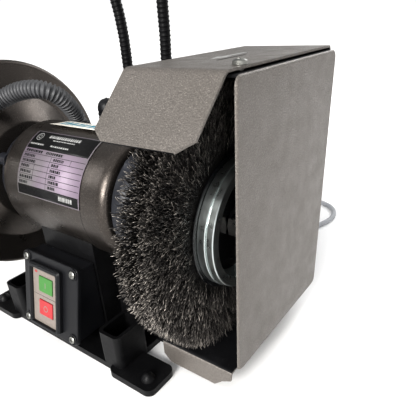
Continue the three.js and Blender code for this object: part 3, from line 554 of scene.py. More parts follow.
def lofted(rings, closed=False):
    """Rings of as many points each, joined in order; closed joins the last to the first and has no caps."""
    n = len(rings[0])
    faces = []
    for j in range(len(rings) if closed else len(rings) - 1):
        here, there = j * n, (j + 1) % len(rings) * n
        faces += [(here + i, here + (i + 1) % n, there + (i + 1) % n, there + i) for i in range(n)]
    if not closed:
        last = (len(rings) - 1) * n
        faces += [tuple(range(n))[::-1], tuple(range(last, last + n))]
    return [point for ring in rings for point in ring], faces


def prism(outline, low, high, axis="z"):
    """An outline swept from low to high: one in (x, y) along z, or one in (y, z) along x."""
    if axis == "x":
        return lofted([[(at, u, v) for u, v in outline] for at in (low, high)])
    return lofted([[(u, v, at) for u, v in outline] for at in (low, high)])


def rounded_rect(u0, u1, v0, v1, r, steps=6):
    corners = [(u1 - r, v0 + r, -90), (u1 - r, v1 - r, 0), (u0 + r, v1 - r, 90), (u0 + r, v0 + r, 180)]
    outline = []
    for cu, cv, start in corners:
        for i in range(steps + 1):
            a = math.radians(start + 90 * i / steps)
            outline.append((cu + r * math.cos(a), cv + r * math.sin(a)))
    return outline


def ring_outline(u, v, r, steps=28):
    return [(u + r * math.cos(2 * math.pi * i / steps), v + r * math.sin(2 * math.pi * i / steps))
            for i in range(steps)]


def soft_slab(outline, low, high, soft, steps=4):
    """A slab whose top edge is rounded over; the outline runs anticlockwise round its own centre."""
    n = len(outline)
    cu, cv = (sum(p[k] for p in outline) / n for k in (0, 1))
    half = max(abs(u - cu) for u, _ in outline), max(abs(v - cv) for _, v in outline)
    rows = [(low, 0.0)] + [(high - soft + soft * math.sin(a), soft * (1 - math.cos(a)))
                           for a in np.linspace(0, math.pi / 2, steps + 1)]
    rings = []
    for z, inset in rows:
        su, sv = 1 - inset / half[0], 1 - inset / half[1]
        rings.append([(cu + (u - cu) * su, cv + (v - cv) * sv, z) for u, v in outline])
    return lofted(rings)


def picture_frame(outer, inner, low, high, slope):
    """A raised frame between two outlines of as many points; its crest is bevelled on both sides."""
    crest = [[(a[0] + (b[0] - a[0]) * t, a[1] + (b[1] - a[1]) * t) for a, b in zip(outer, inner)]
             for t in (0.3, 0.7)]
    rows = [(outer, low), (outer, high - slope), (crest[0], high), (crest[1], high), (inner, high - slope),
            (inner, low)]
    return lofted([[(u, v, z) for u, v in ring] for ring, z in rows], closed=True)


def turned(profile, sides=ROUND, wave=None):
    """A profile of (position, radius) turned about X; it is a ring if it ends where it starts."""
    ring = profile[0] == profile[-1]
    rows = profile[:-1] if ring else profile
    points, starts = [], []
    for at, r in rows:
        starts.append(len(points))
        if r == 0:
            points.append((at, 0.0, 0.0))
            continue
        for i in range(sides):
            a = 2 * math.pi * i / sides
            k = r * (wave(a, at) if wave else 1)
            points.append((at, -k * math.cos(a), k * math.sin(a)))
    faces = []
    for j in range(len(rows) if ring else len(rows) - 1):
        k = (j + 1) % len(rows)
        for i in range(sides):
            n = (i + 1) % sides
            quad = [starts[j] + (i if rows[j][1] else 0), starts[j] + (n if rows[j][1] else 0),
                    starts[k] + (n if rows[k][1] else 0), starts[k] + (i if rows[k][1] else 0)]
            faces.append(tuple(dict.fromkeys(quad)))
    return points, faces


def moved(shape, matrix):
    points, faces = shape
    return [tuple(matrix @ Vector(p)) for p in points], faces


def spun(profile, sides=ROUND, wave=None):
    """A profile turned about the spindle's axis."""
    return moved(turned(profile, sides, wave), Matrix.Translation((0, 0, AXIS_H)))


def upright(shape, x=0.0, y=0.0, z=0.0):
    """A shape turned about X, stood up so that its axis runs along +Z from (x, y, z)."""
    return moved(shape, Matrix.Translation((x, y, z)) @ Matrix.Rotation(math.radians(-90), 4, "Y"))


def facing(shape, direction, at):
    """A shape made along +Z, pointed along a direction from a point."""
    turn = Vector(direction).to_track_quat("Z", "Y").to_matrix().to_4x4()
    return moved(shape, Matrix.Translation(at) @ turn)


def around(radius, degrees):
    """(y, z) at an angle about the spindle, measured up from the front horizontal."""
    a = math.radians(degrees)
    return -radius * math.cos(a), AXIS_H + radius * math.sin(a)


def on_tube(x0, x1, low, high, inner, outer, steps=1):
    """A thin patch that follows the tube between two angles."""
    inside = [around(inner, low + (high - low) * i / steps) for i in range(steps + 1)]
    outside = [around(outer, high + (low - high) * i / steps) for i in range(steps + 1)]
    return prism(inside + outside, x0, x1, "x")


def pan_head(radius, height, levels=9, sides=40):
    """Pan-head screw along +Z with its seat at the origin and a cross recess in its top."""
    arm, reach, depth = radius * 0.17, radius * 0.56, height * 0.62

    def top(x, y, share):
        dome = height * (1 - 0.35 * share ** 3.2)
        far = max(abs(x), abs(y)) / reach
        inside = max(0.0, 1 - max(min(abs(x), abs(y)) / arm, far) ** 4)
        return dome - depth * min(1.0, inside * 2) * (1 - 0.5 * min(far, 1))

    rings = [[(x, y, top(x, y, j / levels)) for x, y in ring_outline(0, 0, radius * j / levels, sides)]
             for j in range(1, levels + 1)]
    rings.append([(x, y, 0) for x, y in ring_outline(0, 0, radius, sides)])
    points, faces = lofted(rings)
    middle = len(points)
    faces[-2:-1] = [(i, (i + 1) % sides, middle) for i in range(sides)]
    return points + [(0, 0, top(0, 0, 0))], faces


def smooth_path(points, step):
    """Points about a step apart on a smooth curve through the given ones."""
    p = [Vector(q) for q in points]
    p = [2 * p[0] - p[1], *p, 2 * p[-1] - p[-2]]
    out = []
    for i in range(1, len(p) - 2):
        a, b, c, d = p[i - 1:i + 3]
        t0, t1 = 0.0, (b - a).length ** 0.5
        t2 = t1 + (c - b).length ** 0.5
        t3 = t2 + (d - c).length ** 0.5
        n = max(2, round((c - b).length / step))
        for k in range(n):
            t = t1 + (t2 - t1) * k / n
            a1 = a * ((t1 - t) / (t1 - t0)) + b * ((t - t0) / (t1 - t0))
            a2 = b * ((t2 - t) / (t2 - t1)) + c * ((t - t1) / (t2 - t1))
            a3 = c * ((t3 - t) / (t3 - t2)) + d * ((t - t2) / (t3 - t2))
            b1 = a1 * ((t2 - t) / (t2 - t0)) + a2 * ((t - t0) / (t2 - t0))
            b2 = a2 * ((t3 - t) / (t3 - t1)) + a3 * ((t - t1) / (t3 - t1))
            out.append(b1 * ((t2 - t) / (t2 - t1)) + b2 * ((t - t1) / (t2 - t1)))
    out.append(p[-2])
    return out


def resampled(path, step):
    """The same path with points evenly spaced."""
    lengths = np.concatenate([[0], np.cumsum([(b - a).length for a, b in zip(path, path[1:])])])
    at = np.linspace(0, lengths[-1], max(2, int(lengths[-1] / step)))
    xyz = np.array([tuple(p) for p in path])
    return [Vector(q) for q in np.stack([np.interp(at, lengths, xyz[:, k]) for k in range(3)], 1)]


def softened(path, rounds):
    """The path with every point but its ends pulled towards its neighbours, a few times over."""
    path = [Vector(p) for p in path]
    for _ in range(rounds):
        middle = [(a + 2 * b + c) / 4 for a, b, c in zip(path, path[1:], path[2:])]
        path = [path[0], *middle, path[-1]]
    return path


def filleted(corners, radii, steps=8):
    """A path through corners with each inner one rounded to its radius."""
    path = [Vector(corners[0])]
    for before, at, after, r in zip(corners, corners[1:], corners[2:], radii):
        before, at, after = Vector(before), Vector(at), Vector(after)
        come, leave = (before - at).normalized(), (after - at).normalized()
        half = come.angle(leave) / 2
        middle = at + (come + leave).normalized() * (r / math.sin(half))
        start, end = at + come * (r / math.tan(half)), at + leave * (r / math.tan(half))
        for i in range(steps + 1):
            t = i / steps
            spoke = (start - middle).lerp(end - middle, t).normalized()
            path.append(middle + spoke * r)
    path.append(Vector(corners[-1]))
    return path


def swept(path, radius, sides):
    """A closed tube round a path; radius gives the tube's radius at a length along it."""
    rings = []
    along = 0.0
    tangent = (path[1] - path[0]).normalized()
    side = tangent.orthogonal().normalized()
    for i, at in enumerate(path):
        if i:
            along += (at - path[i - 1]).length
        ahead = (path[min(i + 1, len(path) - 1)] - path[max(i - 1, 0)]).normalized()
        side.rotate(tangent.rotation_difference(ahead))
        tangent = ahead
        up = tangent.cross(side)
        rings.append([tuple(at + side * u + up * v) for u, v in ring_outline(0, 0, radius(along), sides)])
    return lofted(rings)


def ribbed(path, pitch, crest, root, sides):
    """A corrugated tube: its radius rises and falls once for each pitch."""
    def radius(along):
        return root + (crest - root) * max(0.0, math.sin(2 * math.pi * along / pitch)) ** 0.6

    return swept(resampled(path, pitch / 8), radius, sides)


# ---------- pieces ----------
def body_of(node):
    return next(b for b, nodes in frame["record"]["behaviour"]["bodies"].items() if node in nodes)


def standing(node):
    """A CAD node's middle in x and y, its foot, its top and half its width, in millimetres."""
    low, high = (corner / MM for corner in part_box(node))
    return (low.x + high.x) / 2, (low.y + high.y) / 2, low.z, high.z, (high.x - low.x) / 2


def add_object(name, mesh, finishes, body, replaces, bevel, segments=3, bevel_from=CREASE, smooth=False):
    """Link a mesh as a piece that rides on a body and stands for CAD nodes."""
    for finish in finishes:
        mesh.materials.append(FINISH[finish])
    obj = link(name, mesh)
    mesh.shade_smooth()
    if bevel:
        rounding = obj.modifiers.new("rounding", "BEVEL")
        rounding.width = bevel * MM
        rounding.segments = segments
        rounding.limit_method = "ANGLE"
        rounding.angle_limit = math.radians(bevel_from)
        rounding.miter_outer = "MITER_ARC"
    if not smooth:
        mesh.set_sharp_from_angle(angle=math.radians(CREASE))
        obj.modifiers.new("flat_faces", "WEIGHTED_NORMAL").keep_sharp = True
    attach(obj, body)
    if replaces:
        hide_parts(*replaces)
    return obj


def mesh_of(name, shapes):
    """One mesh from shapes; each may be (shape, index of its finish)."""
    shapes = [s if isinstance(s[1], int) else (s, 0) for s in shapes]
    points, faces, index = [], [], []
    for (shape_points, shape_faces), finish in shapes:
        start = len(points)
        points += [(x * MM, y * MM, z * MM) for x, y, z in shape_points]
        faces += [tuple(i + start for i in face) for face in shape_faces]
        index += [finish] * len(shape_faces)
    mesh = bpy.data.meshes.new(name)
    mesh.from_pydata(points, [], faces)
    mesh.polygons.foreach_set("material_index", index)
    bm = bmesh.new()
    bm.from_mesh(mesh)
    bmesh.ops.recalc_face_normals(bm, faces=bm.faces)
    bm.to_mesh(mesh)
    bm.free()
    return mesh


def carved(mesh, cutter):
    """The same mesh with a shape cut out of it."""
    whole, knife = link("whole", mesh), link("knife", mesh_of("cutter", [cutter]))
    cut = whole.modifiers.new("cut", "BOOLEAN")
    cut.operation = "DIFFERENCE"
    cut.object = knife
    result = bpy.data.meshes.new_from_object(whole.evaluated_get(bpy.context.evaluated_depsgraph_get()))
    for obj in (whole, knife):
        bpy.data.objects.remove(obj)
    return result


def piece(name, shapes, finishes, body="frame", replaces=(), bevel=0.0, cutters=(), **options):
    """One object from shapes, with the cutters' shapes taken out of it."""
    finishes = [finishes] if isinstance(finishes, str) else finishes
    mesh = mesh_of(name, shapes)
    for cutter in cutters:
        mesh = carved(mesh, cutter)
    return add_object(name, mesh, finishes, body, replaces, bevel, **options)


def refined(node, finish, bevel, **options):
    """A CAD node's own shape with its flat faces made whole and its edges rounded."""
    mesh = frame["nodes"][node].data.copy()
    mesh.materials.clear()
    bm = bmesh.new()
    bm.from_mesh(mesh)
    bmesh.ops.remove_doubles(bm, verts=bm.verts, dist=0.02 * MM)
    bmesh.ops.dissolve_limit(bm, angle_limit=math.radians(1.5), verts=bm.verts, edges=bm.edges)
    for face in bm.faces:
        face.material_index = 0
    bm.to_mesh(mesh)
    bm.free()
    return add_object(node + "_detail", mesh, [finish], body_of(node), [node], bevel, **options)


# ---------- mains lead ----------
def coil_turns():
    """Five turns: two on the bench, two on those and one in the groove above, all a lead's width apart."""
    bench, second, third = COIL["layers"]
    outer, inner = COIL["outer"], COIL["inner"]
    turns = [(outer, bench), (inner, bench), (inner, second), (outer, second), (COIL["top"], third)]
    points = []
    steps, crossing = 24, 0.25
    for (r, z), (next_r, next_z) in zip(turns, turns[1:] + turns[-1:]):
        for i in range(steps):
            t = max(0.0, (i / steps - 1 + crossing) / crossing)
            t = t * t * (3 - 2 * t)
            a = math.pi + 2 * math.pi * i / steps
            here = r + (next_r - r) * t
            x, y = COIL["x"] + here * math.cos(a), COIL["y"] + here * math.sin(a)
            points.append((x, y, z + (next_z - z) * t))
    return points


def add_mains_lead():
    """The lead from its gland along the bench to its coil and plug."""
    path = smooth_path(LEAD_ON_BENCH + coil_turns() + LEAD_TO_PLUG, 5)
    data = bpy.data.curves.new("mains_lead_detail", "CURVE")
    data.dimensions = "3D"
    data.bevel_depth = LEAD_D / 2 * MM
    data.bevel_resolution = 5
    data.use_fill_caps = True
    spline = data.splines.new("POLY")
    spline.points.add(len(path) - 1)
    for point, at in zip(spline.points, path):
        point.co = (*(at * MM), 1)
    data.materials.append(FINISH["sheath"])
    lead = link("mains_lead_detail", data)
    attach(lead, "frame")
    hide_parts("mains_lead", "mains_lead_coil")
    pieces = [add_plug(), add_coil_tie()]


def add_plug():
    """Moulded two-pin plug with a ribbed cord grip, lying beside the coil."""
    body = [(0, 0), (0, 5.2), (2, 5.6)]
    for i in range(5):
        x, grow = 3 + i * 3.2, 0.3 * i
        body += [(x, 5.8 + grow), (x + 0.2, 4.8 + grow), (x + 1.2, 4.8 + grow), (x + 1.4, 5.9 + grow)]
    body += [(20, 11.5), (22, 13), (26, 16.6), (29, 17), (56, 17), (61, 16.2), (64, 14.6), (64, 0)]
    pin = turned([(62, 0), (62, 2.4), (81, 2.4), (82.6, 1.6), (83, 0)], 20)
    turn = Matrix.Rotation(math.radians(-90), 4, "Z")
    shapes = [(moved(turned(body, 48), Matrix.Translation(PLUG_AT) @ turn), 0)]
    for side in (-PIN_SPREAD, PIN_SPREAD):
        place = Matrix.Translation((PLUG_AT[0] + side, *PLUG_AT[1:])) @ turn
        shapes.append((moved(pin, place), 1))
    return piece("mains_plug_detail", shapes, ["sheath", "steel"], replaces=["mains_plug"])


def add_coil_tie():
    """A strap tie round the coil's far side, snug on its turns, with a small locking head."""
    x, y, half, thick = COIL["x"] + COIL["top"], COIL["y"], TIE["half"], TIE["thick"]
    foot, lowest, middle = COIL["layers"][0], 0.1, 0.35
    inside = [(-8.6, foot), (-8.6, 12.1), (-4.5, 21.5), (0, 23.3), (4.5, 21.5), (8.6, 12.1), (8.6, foot),
              (6.5, 0.9), (-6.5, 0.9)]
    rings = []
    for u, v in inside:
        out_u, out_v = u * (1 + thick / 9), max(middle + (v - middle) * (1 + thick / 20), lowest)
        rings.append([(x + out_u, y - half, out_v), (x + out_u, y + half, out_v), (x + u, y + half, v),
                      (x + u, y - half, v)])
    head = block((x + 8.2, y - 3.4, 9), (x + 12.4, y + 3.4, 14))
    return piece("coil_tie", [lofted(rings, closed=True), head], "plastic", bevel=0.3)


def add_mains_gland():
    """Screwed gland in the column's back with a tapered, ribbed relief sleeve round the lead."""
    x, _, z = LEAD_EXIT
    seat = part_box("mains_gland")[0].y / MM + 8
    nut = prism(ring_outline(0, 0, 11, 6), seat, seat + 7)
    nut = moved(nut, Matrix.Translation((x, 0, z)) @ Matrix.Rotation(math.radians(-90), 4, "X"))
    sleeve = [(seat - 6, 0), (seat - 6, 7.6), (seat + 7, 7.8), (seat + 9, 9.0), (seat + 12, 8.6)]
    for i in range(6):
        a, r = seat + 13 + i * 3.2, 7.6 - i * 0.36
        sleeve += [(a, r), (a + 0.4, r - 1.0), (a + 1.6, r - 1.05), (a + 2.0, r - 0.1)]
    end = seat + STRAIN_RELIEF
    sleeve += [(end, 4.6), (end, 0)]
    turn = Matrix.Translation((x, 0, z)) @ Matrix.Rotation(math.radians(90), 4, "Z")
    shapes = [nut, moved(turned(sleeve, 36), turn)]
    piece("mains_gland_detail", shapes, "plastic", replaces=["mains_gland"], bevel=0.3)


# ---------- motor ----------
def add_motor_tube():
    """Spun tube with rounded shoulders; a fine seam runs along it below the plate."""
    half, length, drop, bore = (TUBE[k] for k in ("half", "shoulder", "drop", "bore"))
    right = [(half - length + length * math.cos(a), MOTOR_R - drop + drop * math.sin(a))
             for a in np.linspace(0, math.pi / 2, 13)]
    left = [(-x, r) for x, r in right]
    profile = [(-half, bore), *left, *right[::-1], (half, bore), (-half, bore)]
    piece("motor_tube", [spun(profile, 128)], "hammered", replaces=["motor_housing"])
    seam = on_tube(*SEAM["x"], *SEAM["angles"], MOTOR_R - SEAM["depth"], MOTOR_R + SEAM["rise"], 11)
    piece("tube_seam", [seam], "ink")


def bell_rib(sign):
    """A cooling rib above the spindle; its outer edge slopes down with the bell."""
    near, far = RIB["x"]
    foot, crest = RIB["r"]
    start, end = sorted((sign * near, sign * far))
    points, faces = block((start, -RIB["half"], foot), (end, RIB["half"], crest))
    return [(x, y, z - (abs(x) - near) * RIB["slope"] if z == crest else z) for x, y, z in points], faces


def add_end_bell(side, sign):
    """End bell with ribs and four screw bosses; sign is 1 on the right and -1 on the left."""
    shapes = [spun([(sign * x, r) for x, r in BELL])]
    boss = turned([(sign * x, r) for x, r in BOSS], 32)
    turn = Matrix.Rotation(math.radians(90 * sign), 4, "Y")
    for angle in BOSSES["angles"]:
        y, z = around(BOSSES["r"], angle if sign > 0 else 180 - angle)
        shapes.append((moved(boss, Matrix.Translation((0, y, z))), 0))
        place = Matrix.Translation((sign * BOSSES["seat"], y, z)) @ turn
        shapes.append((moved(pan_head(*BOSSES["screw"]), place), 1))
    for angle in range(RIB["first"], 360, RIB["every"]):
        turn = Matrix.Translation((0, 0, AXIS_H)) @ Matrix.Rotation(math.radians(angle), 4, "X")
        shapes.append((moved(bell_rib(sign), turn), 0))
    piece(f"end_bell_{side}_detail", shapes, ["bell", "zinc"], replaces=[f"end_bell_{side}"], bevel=0.7)


def bars(printed, x0, x1, low, high, layer, finish):
    """A run of short bars of uneven length, standing for a line of print."""
    x = x0
    while x < x1:
        width = min(float(random.uniform(1.1, 3.4)), x1 - x)
        printed(x, x + width, low, high, layer, finish)
        x += width + 0.75


def emblem_ring(x, angle, r, height):
    """A plain ring printed on the plate's head, as short patches in the plate's third finish."""
    steps, width, depth = 20, 0.7, 0.2
    shapes = []
    for i in range(steps):
        a, b = 2 * math.pi * i / steps, 2 * math.pi * (i + 1) / steps
        quad = [(x + k * math.cos(t), angle + math.degrees(k * math.sin(t) / MOTOR_R))
                for k, t in ((r, a), (r, b), (r - width, b), (r - width, a))]
        patch = [[(u, *around(h, v)) for u, v in quad] for h in (height - depth, height)]
        shapes.append((lofted(patch), 2))
    return shapes


def add_nameplate():
    """Rating plate: dark head and foot, ruled rows between them and plain bars where lettering would be."""
    p = PLATE
    base, top, ink = MOTOR_R + 0.3, MOTOR_R + 0.9, MOTOR_R + 0.93
    half, inner, head, foot = p["half"], p["half"] - p["margin"], p["high"] - p["edge"], p["low"] + p["edge"]
    shapes = [(on_tube(-half, half, p["low"], p["high"], base, top, 48), 0)]

    def printed(x0, x1, low, high, layer=0.0, finish=1):
        steps = max(1, round((high - low) / 2))
        shapes.append((on_tube(x0, x1, low, high, top - 0.2, ink + layer, steps), finish))

    printed(-inner, inner, p["head"], head)
    printed(-inner, inner, foot, p["foot"])
    rows = np.linspace(p["head"], p["foot"], 8)
    rule = 0.22
    for angle in rows[1:-1]:
        printed(-inner, inner, angle - rule, angle + rule)
    for x, first, last in ((-2, 1, 7), (-26, 3, 6), (30, 1, 2)):
        printed(x - 0.25, x + 0.25, rows[last], rows[first])
    cells = [(-49, -20, 0), (-14, 14, 0)]
    for row in range(1, 7):
        cells += [(-49, -34 + 4 * (row % 3), row), (2, 14 + 5 * (row % 2), row)]
    for x0, x1, row in cells:
        middle = (rows[row] + rows[row + 1]) / 2
        bars(printed, x0, x1, middle - 1.2, middle + 1.2, 0.0, 1)
    for x0, x1, low, high in ((-26, 26, 6.4, 3.0), (-16, 20, 9.2, 8.0), (-49, -26, 15.6, 13.9),
                              (-14, 16, 15.6, 13.9)):
        bars(printed, x0, x1, head - low, head - high, 0.05, 2)
    bars(printed, 20, 42, p["low"] + 3.4, p["low"] + 7.2, 0.05, 2)
    for r in (5.2, 2.6):
        shapes += emblem_ring(-41.5, head - 6.2, r, ink + 0.05)
    piece("nameplate_detail", shapes, ["plate", "ink", "white"], replaces=["nameplate"], smooth=True)


def label_strip(x0, x1, v0, v1, low, high, steps=14):
    """A strip across the label, low to high above its glue; its front edge has come up a little."""
    start, end = LABEL["angles"]
    rings = []
    for i in range(steps + 1):
        v = v0 + (v1 - v0) * i / steps
        base = MOTOR_R + LABEL["glue"] + LABEL["lift"] * max(0.0, (v - 0.45) / 0.55) ** 2
        under, over = (around(base + h, start + (end - start) * v) for h in (low, high))
        rings.append([(x0, *under), (x1, *under), (x1, *over), (x0, *over)])
    return lofted(rings)


def add_paper_label():
    """Paper label stuck along the top of the tube, with a row of plain bars."""
    shapes = [(label_strip(*LABEL["x"], 0, 1, 0, 0.25), 0)]
    x, end = LABEL["print"]
    while x < end:
        width = float(random.uniform(2.5, 8))
        shapes.append((label_strip(x, x + width, 0.3, 0.72, 0.1, 0.32), 1))
        x += width + float(random.uniform(1.5, 3.5))
    piece("paper_label", shapes, ["paper", "teal"], smooth=True)


# ---------- brush and spindle ----------
def column(values):
    return values[:, None]


def wire_courses(count, root_r, length, x_range, lean):
    """Crimped courses of many wires: each one's angle, and its height, radius and sway ring by ring."""
    turn = column(random.uniform(0, 2 * math.pi, count))
    x = column(random.uniform(*x_range, count))
    start = column(np.sqrt(random.uniform(root_r[0] ** 2, root_r[1] ** 2, count)))
    limit = column(BRUSH_R + random.normal(-1.2, 0.9, count))
    reach = np.minimum(column(random.uniform(*length, count)), limit - start)
    swing = random.uniform(0.35, 0.8, (2, count, 1))
    phase = random.uniform(0, 2 * math.pi, (2, count, 1))
    pitch = column(random.uniform(4.5, 7.5, count))
    out = column(random.normal(lean, 0.13, count))
    aside = column(random.normal(0, 0.24, count))
    along = np.linspace(0, 1, WIRE["rings"])[None] * reach
    wave = 2 * math.pi * along / pitch
    sway = aside * along + swing[0] * np.sin(wave + phase[0])
    axial = x + out * along + swing[1] * np.sin(wave + phase[1])
    return turn, np.clip(axial, WIRE["x_min"], WIRE["x_max"]), start + along, sway


def wire_mesh(name, turn, axial, radial, sway):
    """One mesh of thin three-sided wires that follow their courses."""
    rings, sides, r = WIRE["rings"], WIRE["sides"], WIRE["r"]
    count = len(turn)
    points = np.zeros((count, rings, sides, 3))
    for k in range(sides):
        a = 2 * math.pi * k / sides
        t = sway + r * math.cos(a)
        points[:, :, k, 0] = axial + r * math.sin(a)
        points[:, :, k, 1] = -radial * np.cos(turn) + t * np.sin(turn)
        points[:, :, k, 2] = AXIS_H + radial * np.sin(turn) + t * np.cos(turn)
    one = []
    for j in range(rings - 1):
        here, there = j * sides, (j + 1) * sides
        one += [(here + k, here + (k + 1) % sides, there + (k + 1) % sides, there + k) for k in range(sides)]
    base = np.arange(count)[:, None, None] * rings * sides
    last = (rings - 1) * sides
    quads = (base + np.array(one)[None]).reshape(-1, 4)
    caps = (base + np.array([[0, 2, 1], [last, last + 1, last + 2]])[None]).reshape(-1, 3)
    mesh = bpy.data.meshes.new(name)
    mesh.from_pydata((points * MM).reshape(-1, 3).tolist(), [], quads.tolist() + caps.tolist())
    return mesh


def add_brush_wires(name, count, root_r, length, x_range, lean):
    """Short crimped wires that stand out round the spindle, as one mesh; each wire has a random tone and
    painted shade that darkens it towards its root.
    """
    mesh = wire_mesh(name, *wire_courses(count, root_r, length, x_range, lean))
    own = column(random.beta(1.6, 2.0, count))
    # Painted shade: each wire darkens towards its root, deep in the brush where shadow falls.
    tone = np.clip(own + 0.55 * (np.linspace(0, 1, WIRE["rings"])[None] - 0.75), 0, 1)
    shade = mesh.attributes.new("shade", "FLOAT", "POINT")
    shade.data.foreach_set("value", np.repeat(tone.reshape(-1), WIRE["sides"]).astype(np.float32))
    add_object(name, mesh, ["wire"], "spindle", (), 0, smooth=True)


def add_brush():
    """A near-black mass of crowded wires, its darkness painted shade, with loose crimped ends standing out
    of its two faces and its rim.
    """
    core = [(168, 50), (168, 66), (167, 90), (169, 107), (173, 113), (182, 113), (186, 107), (187.5, 90),
            (188.5, 66), (188.5, 50), (168, 50)]
    piece("brush_root_mass", [spun(core)], "root", "spindle", ["wire_brush"])
    for batch in range(3):
        add_brush_wires(f"brush_wires_right_{batch}", 5200, (63, 113), (13, 22), (184, 189), 0.2)
    add_brush_wires("brush_wires_rim", 5200, (102, 114), (14, 24), (165, 190), 0.0)
    add_brush_wires("brush_wires_left", 4600, (66, 115), (13, 24), (164.5, 169), -0.3)


def add_hub():
    """Deep outer flange of the brush: a gloss black disc, two polished bands and an open recess."""
    disc = [(189.8, 10.4), (189.8, 50), (190.2, 50), (190.2, 65.5), (190.7, 66), (191.4, 66), (191.9, 65.5),
            (192.0, 58), (192.5, 46), (192.5, 10.4), (189.8, 10.4)]
    bands = [(192.0, 48.2), (192.0, 61.5), (192.5, 62), (199.7, 62), (200.3, 61.4), (200.5, 60.2),
             (201.5, 60.2), (202.1, 61.2), (207.2, 61.2), (208, 60.4), (208, 52.2), (207.4, 51.6),
             (206.8, 51.2), (192.0, 48.2)]
    shapes = [(spun(disc, 160), 0), (spun(bands, 160), 1)]
    piece("hub_flange", shapes, ["gloss", "hub"], "spindle", ["brush_flange_outer"])
    inner = [(151, 10.4), (151, 21), (152, 22), (164.4, 22), (164.6, 63), (165.6, 64), (167.4, 64),
             (167.6, 51.5), (189.2, 51.5), (189.2, 10.4), (151, 10.4)]
    piece("brush_back_flange", [spun(inner)], "hub", "spindle", ["brush_flange_inner"])


def spindle_nut(x0, x1, sides=60):
    """Hexagon nut with its corners turned off at both faces."""
    flats, corners, bore, chamfer = (NUT[k] for k in ("flats", "corners", "bore", "chamfer"))
    rings = []
    for x, limit in ((x0, bore), (x0, flats), (x0 + chamfer, corners), (x1 - chamfer, corners), (x1, flats),
                     (x1, bore)):
        ring = []
        for i in range(sides):
            a = 2 * math.pi * i / sides
            off = (a + math.pi / 6) % (math.pi / 3) - math.pi / 6
            r = min(limit, flats / math.cos(off))
            ring.append((x, -r * math.cos(a), AXIS_H + r * math.sin(a)))
        rings.append(ring)
    return lofted(rings, closed=True)


def threaded_end(x0, x1, r, pitch=2.0):
    """A threaded length of the shaft, as ridges a pitch apart, with a chamfered end."""
    sign = 1 if x1 > x0 else -1
    rows = [(x0, r - 1.2)]
    for i in range(int(abs(x1 - x0) / pitch) - 1):
        x = x0 + sign * pitch * i
        rows += [(x, r - 1.1), (x + sign * pitch * 0.5, r)]
    rows += [(x1 - sign * 1.2, r - 1.1), (x1, r - 2.0), (x1, 3.0), (x1 - sign * 2.5, 0)]
    return rows


def add_shaft():
    """Shaft with a threaded end on each side, and the nuts on them."""
    rows = threaded_end(-192, -208, 10)[::-1]
    rows += [(-150.4, 9.4), (-150, 10), (-150, 12.3), (-149.6, 12.5), (149.6, 12.5), (150, 12.3), (150, 10)]
    rows += threaded_end(188, 210, 10)
    piece("spindle_shaft", [spun(rows, 48)], "steel", "spindle", ["motor_shaft"])
    piece("brush_nut_detail", [spindle_nut(192.8, 204)], "steel", "spindle", ["brush_nut"], bevel=0.2)
    piece("wheel_nut_detail", [spindle_nut(-206.6, -199.3)], "steel", "spindle", ["wheel_nut"], bevel=0.2)


def add_wheel():
    """Grinding wheel with paper blotters under its two flanges."""
    deep, fine = WHEEL_WEAR

    def wear(angle, at):
        return 1 - deep * (1 + math.sin(3 * angle + 0.4 * at)) - fine * math.sin(17 * angle)

    stone = [(-192, 16.2), (-192, 123.6), (-190.8, 124.8), (-161.2, 124.8), (-160, 123.6), (-160, 16.2),
             (-192, 16.2)]
    piece("wheel_stone", [spun(stone, 144, wear)], "stone", "spindle", ["grinding_wheel"])
    for name, x in (("outer", -192.35), ("inner", -160.0)):
        paper = [(x, 16.4), (x, 51), (x + 0.35, 51), (x + 0.35, 16.4), (x, 16.4)]
        piece(f"wheel_blotter_{name}", [spun(paper)], "blotter", "spindle")
    flanges = {
        "outer": [(-199, 10.4), (-199, 28), (-197, 40), (-195.5, 42), (-192.4, 42), (-192.4, 34), (-194, 32),
                  (-194, 10.4), (-199, 10.4)],
        "inner": [(-159.5, 10.4), (-159.5, 42), (-156.5, 42), (-154, 28), (-150.7, 26), (-150.7, 10.4),
                  (-159.5, 10.4)],
    }
    for name, profile in flanges.items():
        node = f"wheel_flange_{name}"
        piece(node + "_detail", [spun(profile)], "steel", "spindle", [node], bevel=0.5)


# ---------- brush guard ----------
def folded_sheet(path, thick, sides):
    """A strip of sheet along a path in (y, z); sides gives its two edges' x at a length along the path."""
    rings = []
    along = 0.0
    for i, at in enumerate(path):
        if i:
            along += (at - path[i - 1]).length
        ahead = (path[min(i + 1, len(path) - 1)] - path[max(i - 1, 0)]).normalized()
        out = Vector((-ahead.y, ahead.x)) * thick / 2
        left, right = sides(along)
        corners = ((left, at + out), (right, at + out), (right, at - out), (left, at - out))
        rings.append([(x, p.x, p.y) for x, p in corners])
    return lofted(rings)


def pierced_panel(y0, y1, z0, z1, hole, x0, x1, steps=72):
    """A flat panel across X with a round hole about the spindle."""
    corners = [math.atan2(z - AXIS_H, y) % (2 * math.pi) for y in (y0, y1) for z in (z0, z1)]
    angles = sorted([2 * math.pi * (i + 0.5) / steps for i in range(steps)] + corners)
    outline, rim = [], []
    for a in angles:
        cy, cz = math.cos(a), math.sin(a)
        reach = min((y1 if cy > 0 else y0) / cy, ((z1 if cz > 0 else z0) - AXIS_H) / cz)
        outline.append((reach * cy, AXIS_H + reach * cz))
        rim.append((hole * cy, AXIS_H + hole * cz))
    rings = ((outline, x0), (outline, x1), (rim, x1), (rim, x0))
    return lofted([[(x, y, z) for y, z in ring] for ring, x in rings], closed=True)


